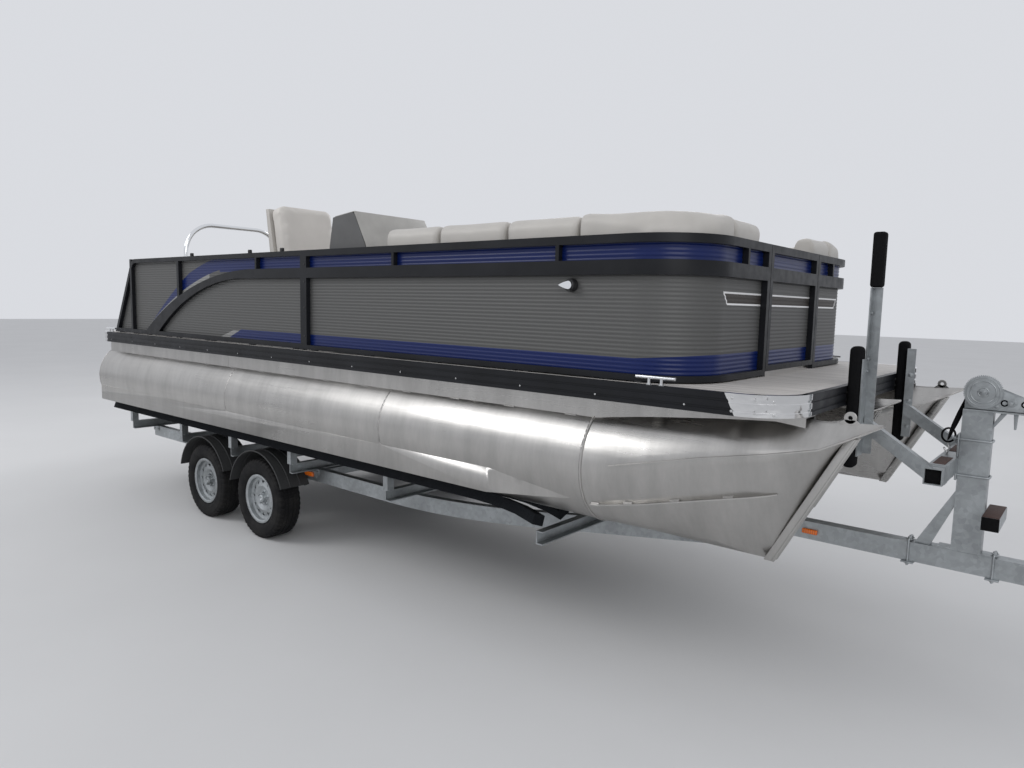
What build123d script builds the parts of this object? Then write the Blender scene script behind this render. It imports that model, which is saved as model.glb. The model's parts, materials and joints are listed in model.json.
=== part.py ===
from build123d import *
from math import asin, atan2, cos, radians, sin, tan
import os

# A three-tube pontoon boat lying on its tandem-axle trailer. Millimetres.
# +X is the bow, +Y the port side, +Z up. The origin lies on the ground, midway between the
# coupler's nose and the engine's cowl, on the centreline. Stations are distances ahead of the
# deck's aft edge.

# Overall
DECK_LENGTH = 6930.0
DECK_WIDTH = 2590.0
FORE_REACH = 8720.0          # coupler's nose, ahead of the deck's aft edge
AFT_REACH = 1050.0           # engine cowl, behind the deck's aft edge
DECK_AFT = -(FORE_REACH - AFT_REACH) / 2
SEAT_GAP = 0.3               # what lies on a round face stands this far off it
RUN_GAP = 5.0                # between a moving piece and its neighbours

# Tubes
TUBE_R = 317.5
TUBE_SPACING = 1029.0
TUBE_AXIS_Z = 1114.5
TUBE_AFT = 176.0
NOSE_JOINT = 5955.0
RING_STATIONS = (2580.0, 4436.0)
RING_PROUD = 2.5
RING_WIDTH = 10.0
CENTER_SET_BACK = 155.0      # the middle nose stands this far behind the outer two
KEEL_W = 20.0
KEEL_DROP = 14.0
STEM_W = 35.0
STEM_T = 12.0
CAP_RIM = 12.0

# Nose sections: ahead of the joint, half width, edge height, crown height, keel height, and
# the middle of the side (out, up), all from the tube's axis
NOSE_BODY = (
    (0.0, TUBE_R, 0.0, TUBE_R, -TUBE_R, TUBE_R * 0.7071, -TUBE_R * 0.7071),
    (320.0, 311.0, 76.0, 320.0, -322.0, 236.0, -170.0),
    (595.0, 250.0, 130.0, 322.0, -330.0, 158.0, -128.0),
    (845.0, 171.0, 176.0, 325.0, -335.0, 88.0, -84.0),
)
NOSE_BEAK = (
    (845.0, 171.0, 176.0, 325.0, -335.0, 88.0, -84.0),
    (1045.0, 91.0, 216.0, 328.0, 97.0, 48.0, 154.0),
    (1155.0, 41.0, 256.0, 332.0, 240.0, 21.0, 246.0),
    (1262.0, 4.0, 328.0, 333.5, 326.0, 2.0, 326.5),
)
SPRAY_OUT = 30.0
SPRAY_T = 7.0
SPRAY_AFT_DROP = 186.0       # spray rail's height below the axis, at the joint
SPRAY_FORE_DROP = 120.0      # and at its front end
SPRAY_LENGTH = 800.0
OUTER_EYE = (1130.0, 348.0, 0.0, -1.0)      # hole ahead of the joint, above the axis, root's way (X, Z)
CENTER_EYE = (1040.0, -10.0, -1.0, 0.0)
EYE_ROOT = 50.0
EYE_R = 26.0
EYE_HOLE_R = 10.0
EYE_T = 10.0

# Lifting strakes on the outer tubes' outer sides
STRAKE_AFT = 179.0
STRAKE_FORE = 5330.0
STRAKE_OUT = 305.0
STRAKE_TOP = -96.5           # from the axis
STRAKE_FLAT = -234.5

# Frame under the deck
RISER_OUT = 221.0            # leg's outer face from the tube's axis
RISER_T = 6.0
RISER_FORE = 6640.0
RISER_AFT = 200.0
RISER_LIFT = 21.0            # riser's top above the tube's top
CHANNEL_H = 71.0
CHANNEL_W = 38.0
CHANNEL_T = 5.0
CHANNEL_COUNT = 17
CHANNEL_END_GAP = 262.0      # from the deck's ends, clear of its round corners
CHANNEL_SIDE_GAP = 1.0       # from the rub rails
DECK_T = 25.0
RISER_TOP = TUBE_AXIS_Z + TUBE_R + RISER_LIFT
CHANNEL_TOP = RISER_TOP + CHANNEL_H
DECK_TOP = CHANNEL_TOP + DECK_T

# Side extrusion round the deck: height share low and high, thickness
RUB_T = 30.0
RUB_GROOVE = 5.0
RUB_RIBS = ((0.00, 0.20), (0.33, 0.60), (0.73, 1.00))
CORNER_R = 250.0
CASTING_AFT = 285.0          # bow casting's aft end at its top, behind the deck's front
CASTING_SLANT = 48.0
CASTING_INNER = 1035.0       # bow casting's inner end, from the centreline
STERN_CASTING = 260.0

# Fence
FENCE_HALF = 1242.0          # outer face from the centreline
FENCE_FORE = 6478.0
FENCE_R = 360.0
FENCE_DEPTH = 32.0
PANEL_T = 10.0
PANEL_INSET = 14.0
FENCE_FOOT = 7.0
FENCE_BOTTOM = DECK_TOP + FENCE_FOOT
FENCE_TOP = DECK_TOP + 697.0
BOTTOM_RAIL = 30.0
TOP_RAIL = 42.0
MID_RAIL = (DECK_TOP + 506.0, DECK_TOP + 576.0)
POST = 36.0
FENCE_AFT = 334.0
AFT_SLANT_X = 740.6          # where the slanted end would meet the top
AFT_CORNER_R = 120.0
STERN_FENCE = 697.0
UPRIGHT_STATION = 1631.0
JOINT_STATION = 3502.5
ARC_FOOT = (983.0, 1242.0)
ARC_MIDDLE = (1770.0, DECK_TOP + 323.0, DECK_TOP + 400.0)
ARC_FORE = 2810.0
SHORT_POST = 22.0
SHORT_POSTS = (2879.0, 4434.0, 5690.0)
FRONT_SHORT_POST = 680.0
FOOT_LENGTH = 60.0
FOOT_PITCH = 560.0

# Gates, as clear openings between fence posts
BOW_GATE_HALF = 393.0
PORT_GATE = (3560.0, 4250.0)
STERN_GATE = (-1060.0, -430.0)
GATE_BOTTOM = DECK_TOP + 26.0

# Lounges: seat depth from the fence, heights above the deck
LOUNGE_AFT = 4300.0
LOUNGE_SIDE_IN = 620.0       # seat's inner edge from the centreline, along the side
LOUNGE_FRONT_IN = 425.0      # and of the short leg across the bow
LOUNGE_LEG = 560.0           # short leg's length along X
LOUNGE_OUT = 55.0            # base behind the fence's outer face
BASE_H = 300.0
CUSHION_T = 130.0
BACK_OUT = 50.0
BACK_T = 125.0
BACK_TOP = 818.0
BACK_SEAMS = (4780.0, 5304.0, 5786.0)
BACK_FRONT_SEAM = 753.0
SEAM_GAP = 3.0
SEAT_SEAM = 5100.0
STERN_LOUNGE_FORE = 2560.0
STERN_LOUNGE_STARBOARD = -380.0
STERN_SEAT = 560.0
STERN_BACK_TOP = 740.0

# Helm
CONSOLE_STATIONS = (3700.0, 4110.0)
CONSOLE_OUT = 1165.0
CONSOLE_IN = 520.0
CONSOLE_PEAK = 939.0
HELM_Y = -840.0
WHEEL_RIM_R = 170.0
WHEEL_GRIP_R = 13.0
WHEEL_TILT = 25.0
WHEEL_STATION = 3600.0
WHEEL_LIFT = 640.0
CHAIR_STATION = 3010.0
CHAIR_Y = -715.0
CHAIR_SEAT_LIFT = 500.0
CHAIR_W = 520.0
CHAIR_TOP = 1105.0

# Tow arch
ARCH_STATION = 400.0
ARCH_HALF = 550.0
ARCH_TUBE_R = 22.0
ARCH_TOP = 1118.0
ARCH_CORNER = 300.0

# Engine bracket and engine
TRANSOM = -450.0
TRANSOM_TOP = 1430.0
POD_HALF = 190.0
PIVOT_STATION = -505.0
PIVOT_Z = 1460.0
STEER_STATION = -600.0
PROP_Z = 640.0
PROP_R = 184.0
PROP_STATION = -985.0
PLATE_Z = 842.0
COWL_BOTTOM = 1520.0
COWL_TOP = 2030.0
COWL_HALF = 205.0

# Trailer
TYRE_R = 318.0
TYRE_W = 205.0
TYRE_OUT = 1190.0
BEAD_R = 178.0
RIM_LIP_R = 196.0
AXLE_STATIONS = (1922.0, 2771.0)
RAIL_OUT = 940.0
RAIL_BOTTOM = 497.0
RAIL_H = 102.0
RAIL_W = 54.0
RAIL_T = 7.0
RAIL_AFT = 440.0
RAIL_BEND = 4080.0
RAIL_BEND_R = 2450.0
RAIL_BEND_ANGLE = 27.0
RAIL_FORE = 6200.0
CROSS_H = 76.0
CROSS_W = 45.0
CROSS_T = 6.0
CROSS_STATIONS = (480.0, 1500.0, 2346.0, 3200.0, 4300.0, 5560.0)
CROSS_HALF = 1170.0
BUNK_W = 100.0
BUNK_T = 60.0
BUNK_OFFSET = 110.0
BUNK_AFT = 130.0
BUNK_FORE = 5560.0
BUNK_DROP = 110.0            # how far the curved front end falls
TONGUE_W = 80.0
TONGUE_H = 102.0
TONGUE_AFT = 5740.0
TONGUE_WALL = 6.0
FENDER_R = 386.0
FENDER_T = 4.0
FENDER_ENDS = (22.0, 166.0)
JACK_STATION = 8120.0
WINCH_POST = (7350.0, 7480.0)
WINCH_POST_TOP = 1430.0
STOP_Y = 500.0


def sx(station):
    """The X of a station along the deck."""
    return DECK_AFT + station


def side_plane(y):
    """A plane across Y: its sketch reads X and Z, and it extrudes towards starboard."""
    return Plane(origin=(0, y, 0), x_dir=(1, 0, 0), z_dir=(0, -1, 0))


def end_plane(x):
    """A plane across X: its sketch reads Y and Z, and it extrudes forward."""
    return Plane(origin=(x, 0, 0), x_dir=(0, 1, 0), z_dir=(1, 0, 0))


def tube_plane(x, axis_y):
    """A plane across a tube, centred on its axis."""
    return Plane(origin=(x, axis_y, TUBE_AXIS_Z), x_dir=(0, 1, 0), z_dir=(1, 0, 0))


def span_box(x, y, z, mode=Mode.ADD):
    """A box that fills three (low, high) spans."""
    with Locations(((x[0] + x[1]) / 2, (y[0] + y[1]) / 2, (z[0] + z[1]) / 2)):
        Box(x[1] - x[0], y[1] - y[0], z[1] - z[0], mode=mode)


def save(part, label):
    part.label = label
    export_step(part, f"parts/{label}.step")


os.makedirs("parts", exist_ok=True)


# Tubes

def nose_section(row, wider=0.0):
    """One closed section of a nose: a crown over two sides that meet at the keel."""
    ahead, half, edge, crown, keel, mid_out, mid_up = row
    half += wider
    mid_out += wider * 0.9
    ThreePointArc((-half, edge), (0, crown), (half, edge))
    ThreePointArc((half, edge), (mid_out, mid_up), (0, keel))
    ThreePointArc((0, keel), (-mid_out, mid_up), (-half, edge))


def nose_loft(start_x, axis_y, rows, wider=0.0, mode=Mode.ADD):
    sections = []
    for row in rows:
        with BuildSketch(tube_plane(start_x + row[0], axis_y)) as section:
            with BuildLine():
                nose_section(row, wider)
            make_face()
        sections.append(section.sketch)
    loft(sections, ruled=True, mode=mode)


def spray_rails(start_x, axis_y):
    """Thin fins low on the nose: a wider nose cut down to one sloping slab."""
    with BuildPart() as fin:
        nose_loft(start_x, axis_y, NOSE_BODY, wider=SPRAY_OUT)
        aft_z = TUBE_AXIS_Z - SPRAY_AFT_DROP
        fore_z = TUBE_AXIS_Z - SPRAY_FORE_DROP
        x0, x1 = start_x + 40.0, start_x + SPRAY_LENGTH
        with BuildSketch(side_plane(axis_y)):
            Polygon((x0, aft_z), (x1, fore_z), (x1, fore_z + SPRAY_T), (x0, aft_z + SPRAY_T), align=None)
        extrude(amount=TUBE_R + 2 * SPRAY_OUT, both=True, mode=Mode.INTERSECT)
    return fin.part


def pontoon(label, axis_y, eye, set_back=0.0, strake_side=0):
    joint_x = sx(NOSE_JOINT - set_back)
    aft_x = sx(TUBE_AFT)
    fins = spray_rails(joint_x, axis_y)
    with BuildPart() as tube:
        with BuildSketch(tube_plane(aft_x, axis_y)):
            Circle(TUBE_R)
        extrude(amount=joint_x - aft_x)
        for ring_x in [sx(station) for station in RING_STATIONS] + [joint_x - RING_WIDTH, aft_x]:
            with BuildSketch(tube_plane(ring_x, axis_y)):
                Circle(TUBE_R + RING_PROUD)
            extrude(amount=RING_WIDTH)
        with BuildSketch(tube_plane(aft_x, axis_y)):
            Circle(TUBE_R - CAP_RIM)
        extrude(amount=CAP_RIM, mode=Mode.SUBTRACT)
        add(fins)
        nose_loft(joint_x, axis_y, NOSE_BODY)
        nose_loft(joint_x, axis_y, NOSE_BEAK)
        keel_z = TUBE_AXIS_Z - TUBE_R - KEEL_DROP
        span_box((aft_x + 120.0, joint_x + 100.0), (axis_y - KEEL_W / 2, axis_y + KEEL_W / 2),
                 (keel_z, TUBE_AXIS_Z - TUBE_R + 20.0))
        foot = NOSE_BODY[-1]
        shin = NOSE_BEAK[1]
        with BuildSketch(side_plane(axis_y)):
            Polygon(
                (joint_x + 60.0, keel_z),
                (joint_x + foot[0] + 6.0, TUBE_AXIS_Z + foot[4] - STEM_T),
                (joint_x + shin[0] + 62.0, TUBE_AXIS_Z + shin[4] + 110.0),
                (joint_x + shin[0] - 10.0, TUBE_AXIS_Z + shin[4] + 60.0),
                (joint_x + foot[0] - 30.0, TUBE_AXIS_Z + foot[4] + 30.0),
                (joint_x + 60.0, TUBE_AXIS_Z - TUBE_R + 25.0),
                align=None,
            )
        extrude(amount=STEM_W / 2, both=True)
        eye_x, eye_z = joint_x + eye[0], TUBE_AXIS_Z + eye[1]
        root_x, root_z = eye_x + eye[2] * EYE_ROOT, eye_z + eye[3] * EYE_ROOT
        side_x, side_z = abs(eye[3]) * EYE_R, abs(eye[2]) * EYE_R
        with BuildSketch(side_plane(axis_y)):
            with Locations((eye_x, eye_z)):
                Circle(EYE_R)
            Polygon((root_x - 2 * side_x, root_z - 2 * side_z), (eye_x - side_x, eye_z - side_z),
                    (eye_x + side_x, eye_z + side_z), (root_x + 2 * side_x, root_z + 2 * side_z), align=None)
            with Locations((eye_x, eye_z)):
                Circle(EYE_HOLE_R, mode=Mode.SUBTRACT)
        extrude(amount=EYE_T / 2, both=True)
        if strake_side:
            strake(axis_y, strake_side)
    save(tube.part, label)


def strake(axis_y, side):
    """A lifting strake: a bent plate from the tube's flank to its lower quarter, tapered ahead."""
    sections = (
        (STRAKE_AFT, ((STRAKE_OUT - 25.0, STRAKE_TOP), (STRAKE_OUT, STRAKE_TOP), (STRAKE_OUT, STRAKE_FLAT),
                      (STRAKE_OUT - 100.0, STRAKE_FLAT))),
        (STRAKE_FORE, ((STRAKE_OUT - 25.0, STRAKE_TOP), (STRAKE_OUT, STRAKE_TOP), (STRAKE_OUT, STRAKE_FLAT),
                       (STRAKE_OUT - 100.0, STRAKE_FLAT))),
        (NOSE_JOINT - 20.0, ((STRAKE_OUT - 55.0, STRAKE_TOP - 55.0), (STRAKE_OUT - 35.0, STRAKE_TOP - 55.0),
                             (STRAKE_OUT - 45.0, STRAKE_TOP - 75.0), (STRAKE_OUT - 65.0, STRAKE_TOP - 80.0))),
    )
    faces = []
    for station, corners in sections:
        with BuildSketch(tube_plane(sx(station), axis_y)) as section:
            Polygon(*[(side * out, up) for out, up in corners], align=None)
        faces.append(section.sketch)
    for first, last in zip(faces, faces[1:]):
        loft([first, last], ruled=True)


pontoon("pontoon_starboard", -TUBE_SPACING, OUTER_EYE, strake_side=-1)
pontoon("pontoon_port", TUBE_SPACING, OUTER_EYE, strake_side=1)
pontoon("pontoon_center", 0.0, CENTER_EYE, set_back=CENTER_SET_BACK)


# Deck frame: a riser over each tube and channels across them

with BuildPart() as deck_risers:
    for axis_y in (-TUBE_SPACING, 0.0, TUBE_SPACING):
        span_box((sx(RISER_AFT), sx(RISER_FORE)), (axis_y - RISER_OUT, axis_y + RISER_OUT),
                 (RISER_TOP - RISER_T, RISER_TOP))
        for side in (-1, 1):
            low, high = sorted((axis_y + side * RISER_OUT, axis_y + side * (RISER_OUT - RISER_T)))
            span_box((sx(RISER_AFT), sx(RISER_FORE)), (low, high), (TUBE_AXIS_Z + 200.0, RISER_TOP))
    for axis_y in (-TUBE_SPACING, 0.0, TUBE_SPACING):
        with BuildSketch(tube_plane(sx(0.0), axis_y)):
            Circle(TUBE_R + RING_PROUD + SEAT_GAP)
        extrude(amount=DECK_LENGTH, mode=Mode.SUBTRACT)
save(deck_risers.part, "deck_risers")

channel_pitch = (DECK_LENGTH - 2 * CHANNEL_END_GAP - CHANNEL_W) / (CHANNEL_COUNT - 1)
channel_half = DECK_WIDTH / 2 - RUB_T - CHANNEL_SIDE_GAP
with BuildPart() as deck_channels:
    for index in range(CHANNEL_COUNT):
        aft = sx(CHANNEL_END_GAP + index * channel_pitch)
        with BuildSketch(side_plane(channel_half)):
            Polygon(
                (aft, RISER_TOP), (aft + CHANNEL_W, RISER_TOP), (aft + CHANNEL_W, RISER_TOP + CHANNEL_T),
                (aft + CHANNEL_T, RISER_TOP + CHANNEL_T), (aft + CHANNEL_T, CHANNEL_TOP - CHANNEL_T),
                (aft + CHANNEL_W, CHANNEL_TOP - CHANNEL_T), (aft + CHANNEL_W, CHANNEL_TOP), (aft, CHANNEL_TOP),
                align=None,
            )
        extrude(amount=2 * channel_half)
save(deck_channels.part, "deck_channels")


# Deck and the extrusion round it

def deck_outline(inset):
    """The deck's plan, inset from its outer line, with round corners."""
    with Locations((sx(DECK_LENGTH / 2), 0)):
        RectangleRounded(DECK_LENGTH - 2 * inset, DECK_WIDTH - 2 * inset, CORNER_R - inset)


with BuildPart() as deck:
    with BuildSketch(Plane.XY.offset(CHANNEL_TOP)):
        deck_outline(RUB_T)
    extrude(amount=DECK_T)
save(deck.part, "deck")


def rub_ring():
    """The whole ribbed extrusion round the deck, before it is cut into lengths."""
    height = DECK_TOP - RISER_TOP
    with BuildPart() as ring:
        with BuildSketch(Plane.XY.offset(RISER_TOP)):
            deck_outline(RUB_GROOVE)
        extrude(amount=height)
        for low, high in RUB_RIBS:
            with BuildSketch(Plane.XY.offset(RISER_TOP + low * height)):
                deck_outline(0.0)
            extrude(amount=(high - low) * height)
        with BuildSketch(Plane.XY.offset(RISER_TOP)):
            deck_outline(RUB_T)
        extrude(amount=height, mode=Mode.SUBTRACT)
    return ring.part


def casting_blocks():
    """The four corner volumes that the corner castings fill."""
    fore = sx(DECK_LENGTH)
    for side in (-1, 1):
        inner, outer = side * CASTING_INNER, side * (DECK_WIDTH / 2 + 10.0)
        with BuildSketch(side_plane(max(inner, outer))) as block:
            Polygon((fore - CASTING_AFT, DECK_TOP), (fore - CASTING_AFT + CASTING_SLANT, RISER_TOP),
                    (fore + 10.0, RISER_TOP), (fore + 10.0, DECK_TOP), align=None)
        extrude(block.sketch, amount=abs(outer - inner))
        low, high = sorted((side * (DECK_WIDTH / 2 - STERN_CASTING), outer))
        span_box((sx(0.0) - 10.0, sx(STERN_CASTING)), (low, high), (RISER_TOP, DECK_TOP))


ring = rub_ring()
with BuildPart() as castings:
    casting_blocks()
    add(ring, mode=Mode.INTERSECT)
save(castings.part, "corner_castings")

with BuildPart() as corners:
    casting_blocks()
with BuildPart() as rub_rails:
    add(ring)
    add(corners.part, mode=Mode.SUBTRACT)
save(rub_rails.part, "rub_rails")


# Fence

def fence_loop(z, depth, mode=Mode.ADD):
    """A band along the fence's plan, between two depths behind its outer face; open aft."""
    reach = FENCE_FORE + 1200.0
    with BuildSketch(Plane.XY.offset(z[0])) as band:
        for inset, sketch_mode in ((depth[0], Mode.ADD), (depth[1], Mode.SUBTRACT)):
            with Locations((sx(FENCE_FORE - inset - reach / 2), 0)):
                RectangleRounded(reach, 2 * (FENCE_HALF - inset), FENCE_R - inset, mode=sketch_mode)
    extrude(band.sketch, amount=z[1] - z[0], mode=mode)


def side_span(side, near, far):
    """A (low, high) pair of Y values between two distances from the centreline, on one side."""
    return tuple(sorted((side * near, side * far)))


def fence_feet(side, first, last, outer=FENCE_HALF):
    count = max(2, round((last - first) / FOOT_PITCH))
    for index in range(count):
        aft = sx(first + 80.0 + index * (last - first - 160.0 - FOOT_LENGTH) / (count - 1))
        span_box((aft, aft + FOOT_LENGTH), side_span(side, outer - FENCE_DEPTH + 4.0, outer - 4.0),
                 (DECK_TOP, FENCE_BOTTOM + 1.0))


def aft_outline(inset):
    """The aft side section's outline: a slanted end, a round shoulder and a square joint."""
    slope = atan2(FENCE_TOP - FENCE_BOTTOM, AFT_SLANT_X - FENCE_AFT)
    shift = inset / sin(slope)
    run = (FENCE_TOP - FENCE_BOTTOM) / tan(slope)
    foot_x = FENCE_AFT + shift + inset / tan(slope)
    top_x = FENCE_AFT + shift + run - inset / tan(slope)
    with BuildSketch(mode=Mode.PRIVATE) as outline:
        Polygon((sx(foot_x), FENCE_BOTTOM + inset), (sx(top_x), FENCE_TOP - inset),
                (sx(JOINT_STATION) - inset, FENCE_TOP - inset), (sx(JOINT_STATION) - inset, FENCE_BOTTOM + inset),
                align=None)
        shoulder = outline.vertices().group_by(Axis.Y)[-1].sort_by(Axis.X)[0]
        fillet(shoulder, AFT_CORNER_R - inset)
    return outline.sketch


def rail_strip(x, z):
    Polygon((x[0], z[0]), (x[1], z[0]), (x[1], z[1]), (x[0], z[1]), align=None)


def side_fence(label, side, hinge, gate=None):
    outer_plane = side_plane(side * FENCE_HALF)
    inward = side * FENCE_DEPTH
    outer, inner = aft_outline(0.0), aft_outline(POST)
    joint = sx(JOINT_STATION)
    with BuildPart() as frame:
        # aft section, flat: outline, mid rail, arc and posts
        with BuildSketch(outer_plane):
            add(outer)
            add(inner, mode=Mode.SUBTRACT)
            rail_strip((sx(ARC_FORE) - 40.0, joint), MID_RAIL)
            stern_post = sx(STERN_FENCE)
            rail_strip((stern_post, stern_post + POST), (FENCE_BOTTOM, FENCE_TOP))
            with BuildLine():
                foot_aft, foot_fore = (sx(ARC_FOOT[0]), FENCE_BOTTOM + 20.0), (sx(ARC_FOOT[1]), FENCE_BOTTOM + 20.0)
                end_low, end_high = (sx(ARC_FORE), MID_RAIL[0]), (sx(ARC_FORE), MID_RAIL[1])
                Line(foot_aft, foot_fore)
                ThreePointArc(foot_fore, (sx(ARC_MIDDLE[0]), ARC_MIDDLE[1]), end_low)
                Line(end_low, end_high)
                ThreePointArc(end_high, (sx(ARC_MIDDLE[0]), ARC_MIDDLE[2]), foot_aft)
            make_face()
            rail_strip((sx(UPRIGHT_STATION), sx(UPRIGHT_STATION) + POST), (ARC_MIDDLE[1], FENCE_TOP))
            rail_strip((sx(SHORT_POSTS[0]), sx(SHORT_POSTS[0]) + SHORT_POST), (MID_RAIL[0], FENCE_TOP))
        extrude(amount=inward)
        fence_feet(side, FENCE_AFT, JOINT_STATION)
    with BuildPart() as fore_frame:
        # fore section: three rails round the bow corner, then its posts
        for z in ((FENCE_BOTTOM, FENCE_BOTTOM + BOTTOM_RAIL), MID_RAIL, (FENCE_TOP - TOP_RAIL, FENCE_TOP)):
            fence_loop(z, (0.0, FENCE_DEPTH))
        start = gate[1] if gate else JOINT_STATION
        span_box((sx(start), sx(FENCE_FORE) + 10.0), side_span(side, BOW_GATE_HALF, FENCE_HALF + 10.0),
                 (DECK_TOP, FENCE_TOP + 10.0), mode=Mode.INTERSECT)
        y = side_span(side, FENCE_HALF - FENCE_DEPTH, FENCE_HALF)
        span_box((sx(start), sx(start) + POST), y, (FENCE_BOTTOM, FENCE_TOP))
        for station in SHORT_POSTS[1:]:
            if station > start + POST:
                span_box((sx(station), sx(station) + SHORT_POST), y, (MID_RAIL[0], FENCE_TOP))
        front = (sx(FENCE_FORE - FENCE_DEPTH), sx(FENCE_FORE))
        span_box(front, side_span(side, BOW_GATE_HALF, BOW_GATE_HALF + POST), (DECK_TOP, FENCE_TOP))
        span_box(front, side_span(side, FRONT_SHORT_POST, FRONT_SHORT_POST + SHORT_POST), (MID_RAIL[0], FENCE_TOP))
        fence_feet(side, start, FENCE_FORE - FENCE_R)
    with BuildPart() as whole:
        add(frame.part)
        if gate:
            # a post on the far side of the gate ends the aft section
            y = side_span(side, FENCE_HALF - FENCE_DEPTH, FENCE_HALF)
            span_box((joint, sx(gate[0])), y, (DECK_TOP, FENCE_TOP))
        add(fore_frame.part)
        add(hinge)
    save(whole.part, label)


def side_panel(label, side, gate=None):
    """The sheets behind one side's fence frames."""
    back = side * (FENCE_HALF - FENCE_DEPTH)
    inward = PANEL_T if side > 0 else -PANEL_T
    start = gate[1] if gate else JOINT_STATION
    panel_z = (FENCE_BOTTOM + PANEL_INSET, FENCE_TOP - PANEL_INSET)
    with BuildPart() as sheet:
        fence_loop(panel_z, (FENCE_DEPTH, FENCE_DEPTH + PANEL_T))
        span_box((sx(start) + PANEL_INSET, sx(FENCE_FORE) + 10.0),
                 side_span(side, BOW_GATE_HALF + PANEL_INSET, FENCE_HALF), panel_z, mode=Mode.INTERSECT)
    with BuildPart() as aft_sheet:
        with BuildSketch(side_plane(back)):
            add(aft_outline(PANEL_INSET))
        extrude(amount=inward)
    with BuildPart() as both:
        add(sheet.part)
        add(aft_sheet.part)
    save(both.part, label)


def gate_frame(width):
    """A gate's flat frame as a sketch, from its hinge edge outwards, at real height."""
    with BuildSketch(mode=Mode.PRIVATE) as face:
        rail_strip((0.0, POST), (GATE_BOTTOM, FENCE_TOP))
        rail_strip((width - POST, width), (GATE_BOTTOM, FENCE_TOP))
        rail_strip((0.0, width), (GATE_BOTTOM, GATE_BOTTOM + BOTTOM_RAIL))
        rail_strip((0.0, width), MID_RAIL)
        rail_strip((0.0, width), (FENCE_TOP - TOP_RAIL, FENCE_TOP))
    return face.sketch


def gate_sheet(width):
    with BuildSketch(mode=Mode.PRIVATE) as face:
        rail_strip((PANEL_INSET, width - PANEL_INSET), (GATE_BOTTOM + PANEL_INSET, FENCE_TOP - PANEL_INSET))
    return face.sketch


HINGE_PIN_R = 4.0
HINGE_R = 7.5
HINGE_FIT = 0.05
KNUCKLE_H = 40.0
KNUCKLE_GAP = 1.0
HINGE_LIFTS = (150.0, 470.0)      # of each hinge's middle above the deck


def hinge_box(hinge, along, out, z, mode=Mode.ADD):
    """A box by its spans along the gate and out of the boat, from the hinge's axis."""
    (axis_x, axis_y), (ax, ay), (ox, oy) = hinge
    xs = sorted(axis_x + ax * a + ox * o for a, o in zip(along, out))
    ys = sorted(axis_y + ay * a + oy * o for a, o in zip(along, out))
    span_box(xs, ys, z, mode=mode)


def hinge_rod(hinge, radius, z, mode=Mode.ADD):
    with Locations((hinge[0][0], hinge[0][1], (z[0] + z[1]) / 2)):
        Cylinder(radius, z[1] - z[0], mode=mode)


def hinge_post(hinge):
    """The pins and outer knuckles that stay on the fence's post."""
    with BuildPart() as fixed:
        for lift in HINGE_LIFTS:
            z = DECK_TOP + lift
            half = KNUCKLE_H / 2 + KNUCKLE_GAP
            hinge_rod(hinge, HINGE_PIN_R, (z - half - KNUCKLE_H, z + half + KNUCKLE_H))
            for low in (z - half - KNUCKLE_H, z + half):
                hinge_rod(hinge, HINGE_R, (low, low + KNUCKLE_H))
                hinge_box(hinge, (-14.0, -1.0), (3.0, PANEL_T + 0.5), (low, low + KNUCKLE_H))
    return fixed.part


def hinge_leaf(hinge):
    """The middle knuckles that turn with the gate."""
    with BuildPart() as leaf:
        for lift in HINGE_LIFTS:
            z = (DECK_TOP + lift - KNUCKLE_H / 2, DECK_TOP + lift + KNUCKLE_H / 2)
            hinge_rod(hinge, HINGE_R, z)
            hinge_box(hinge, (1.0, 14.0), (3.0, PANEL_T + 0.5), z)
            hinge_rod(hinge, HINGE_PIN_R + HINGE_FIT, (z[0] - 1.0, z[1] + 1.0), mode=Mode.SUBTRACT)
    return leaf.part


def gate(name, outer_face, width, hinge):
    """A gate's frame and, behind it, its sheet. outer_face starts at the gate's low edge and its
    normal points out of the boat."""
    with BuildPart() as frame:
        with BuildSketch(outer_face):
            add(gate_frame(width))
        extrude(amount=-FENCE_DEPTH)
        add(hinge_leaf(hinge))
    save(frame.part, name)
    with BuildPart() as sheet:
        with BuildSketch(outer_face.offset(-FENCE_DEPTH)):
            add(gate_sheet(width))
        extrude(amount=-PANEL_T)
    save(sheet.part, name + "_panel")


# each hinge: its axis, the way the gate runs from it, and the way out of the boat
hinge_back = FENCE_DEPTH + PANEL_T
BOW_HINGE = ((sx(FENCE_FORE) - hinge_back, RUN_GAP / 2 - BOW_GATE_HALF), (0, 1), (1, 0))
PORT_HINGE = ((sx(PORT_GATE[1]) - RUN_GAP / 2, FENCE_HALF - hinge_back), (-1, 0), (0, 1))
STERN_HINGE = ((sx(STERN_FENCE) + hinge_back, STERN_GATE[0] + RUN_GAP / 2), (0, 1), (-1, 0))

side_fence("fence_starboard", -1, hinge_post(BOW_HINGE))
side_panel("panel_starboard", -1)
side_fence("fence_port", 1, hinge_post(PORT_HINGE), PORT_GATE)
side_panel("panel_port", 1, PORT_GATE)

gate("bow_gate",
     Plane(origin=(sx(FENCE_FORE), -BOW_GATE_HALF + RUN_GAP, 0), x_dir=(0, 1, 0), z_dir=(1, 0, 0)),
     2 * (BOW_GATE_HALF - RUN_GAP), BOW_HINGE)
gate("port_gate",
     Plane(origin=(sx(PORT_GATE[1]) - RUN_GAP, FENCE_HALF, 0), x_dir=(-1, 0, 0), z_dir=(0, 1, 0)),
     PORT_GATE[1] - PORT_GATE[0] - 2 * RUN_GAP, PORT_HINGE)
gate("stern_gate",
     Plane(origin=(sx(STERN_FENCE), STERN_GATE[1] - RUN_GAP, 0), x_dir=(0, -1, 0), z_dir=(-1, 0, 0)),
     STERN_GATE[1] - STERN_GATE[0] - 2 * RUN_GAP, STERN_HINGE)


# Stern fence: short to starboard of the gate, long to port of it

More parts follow.
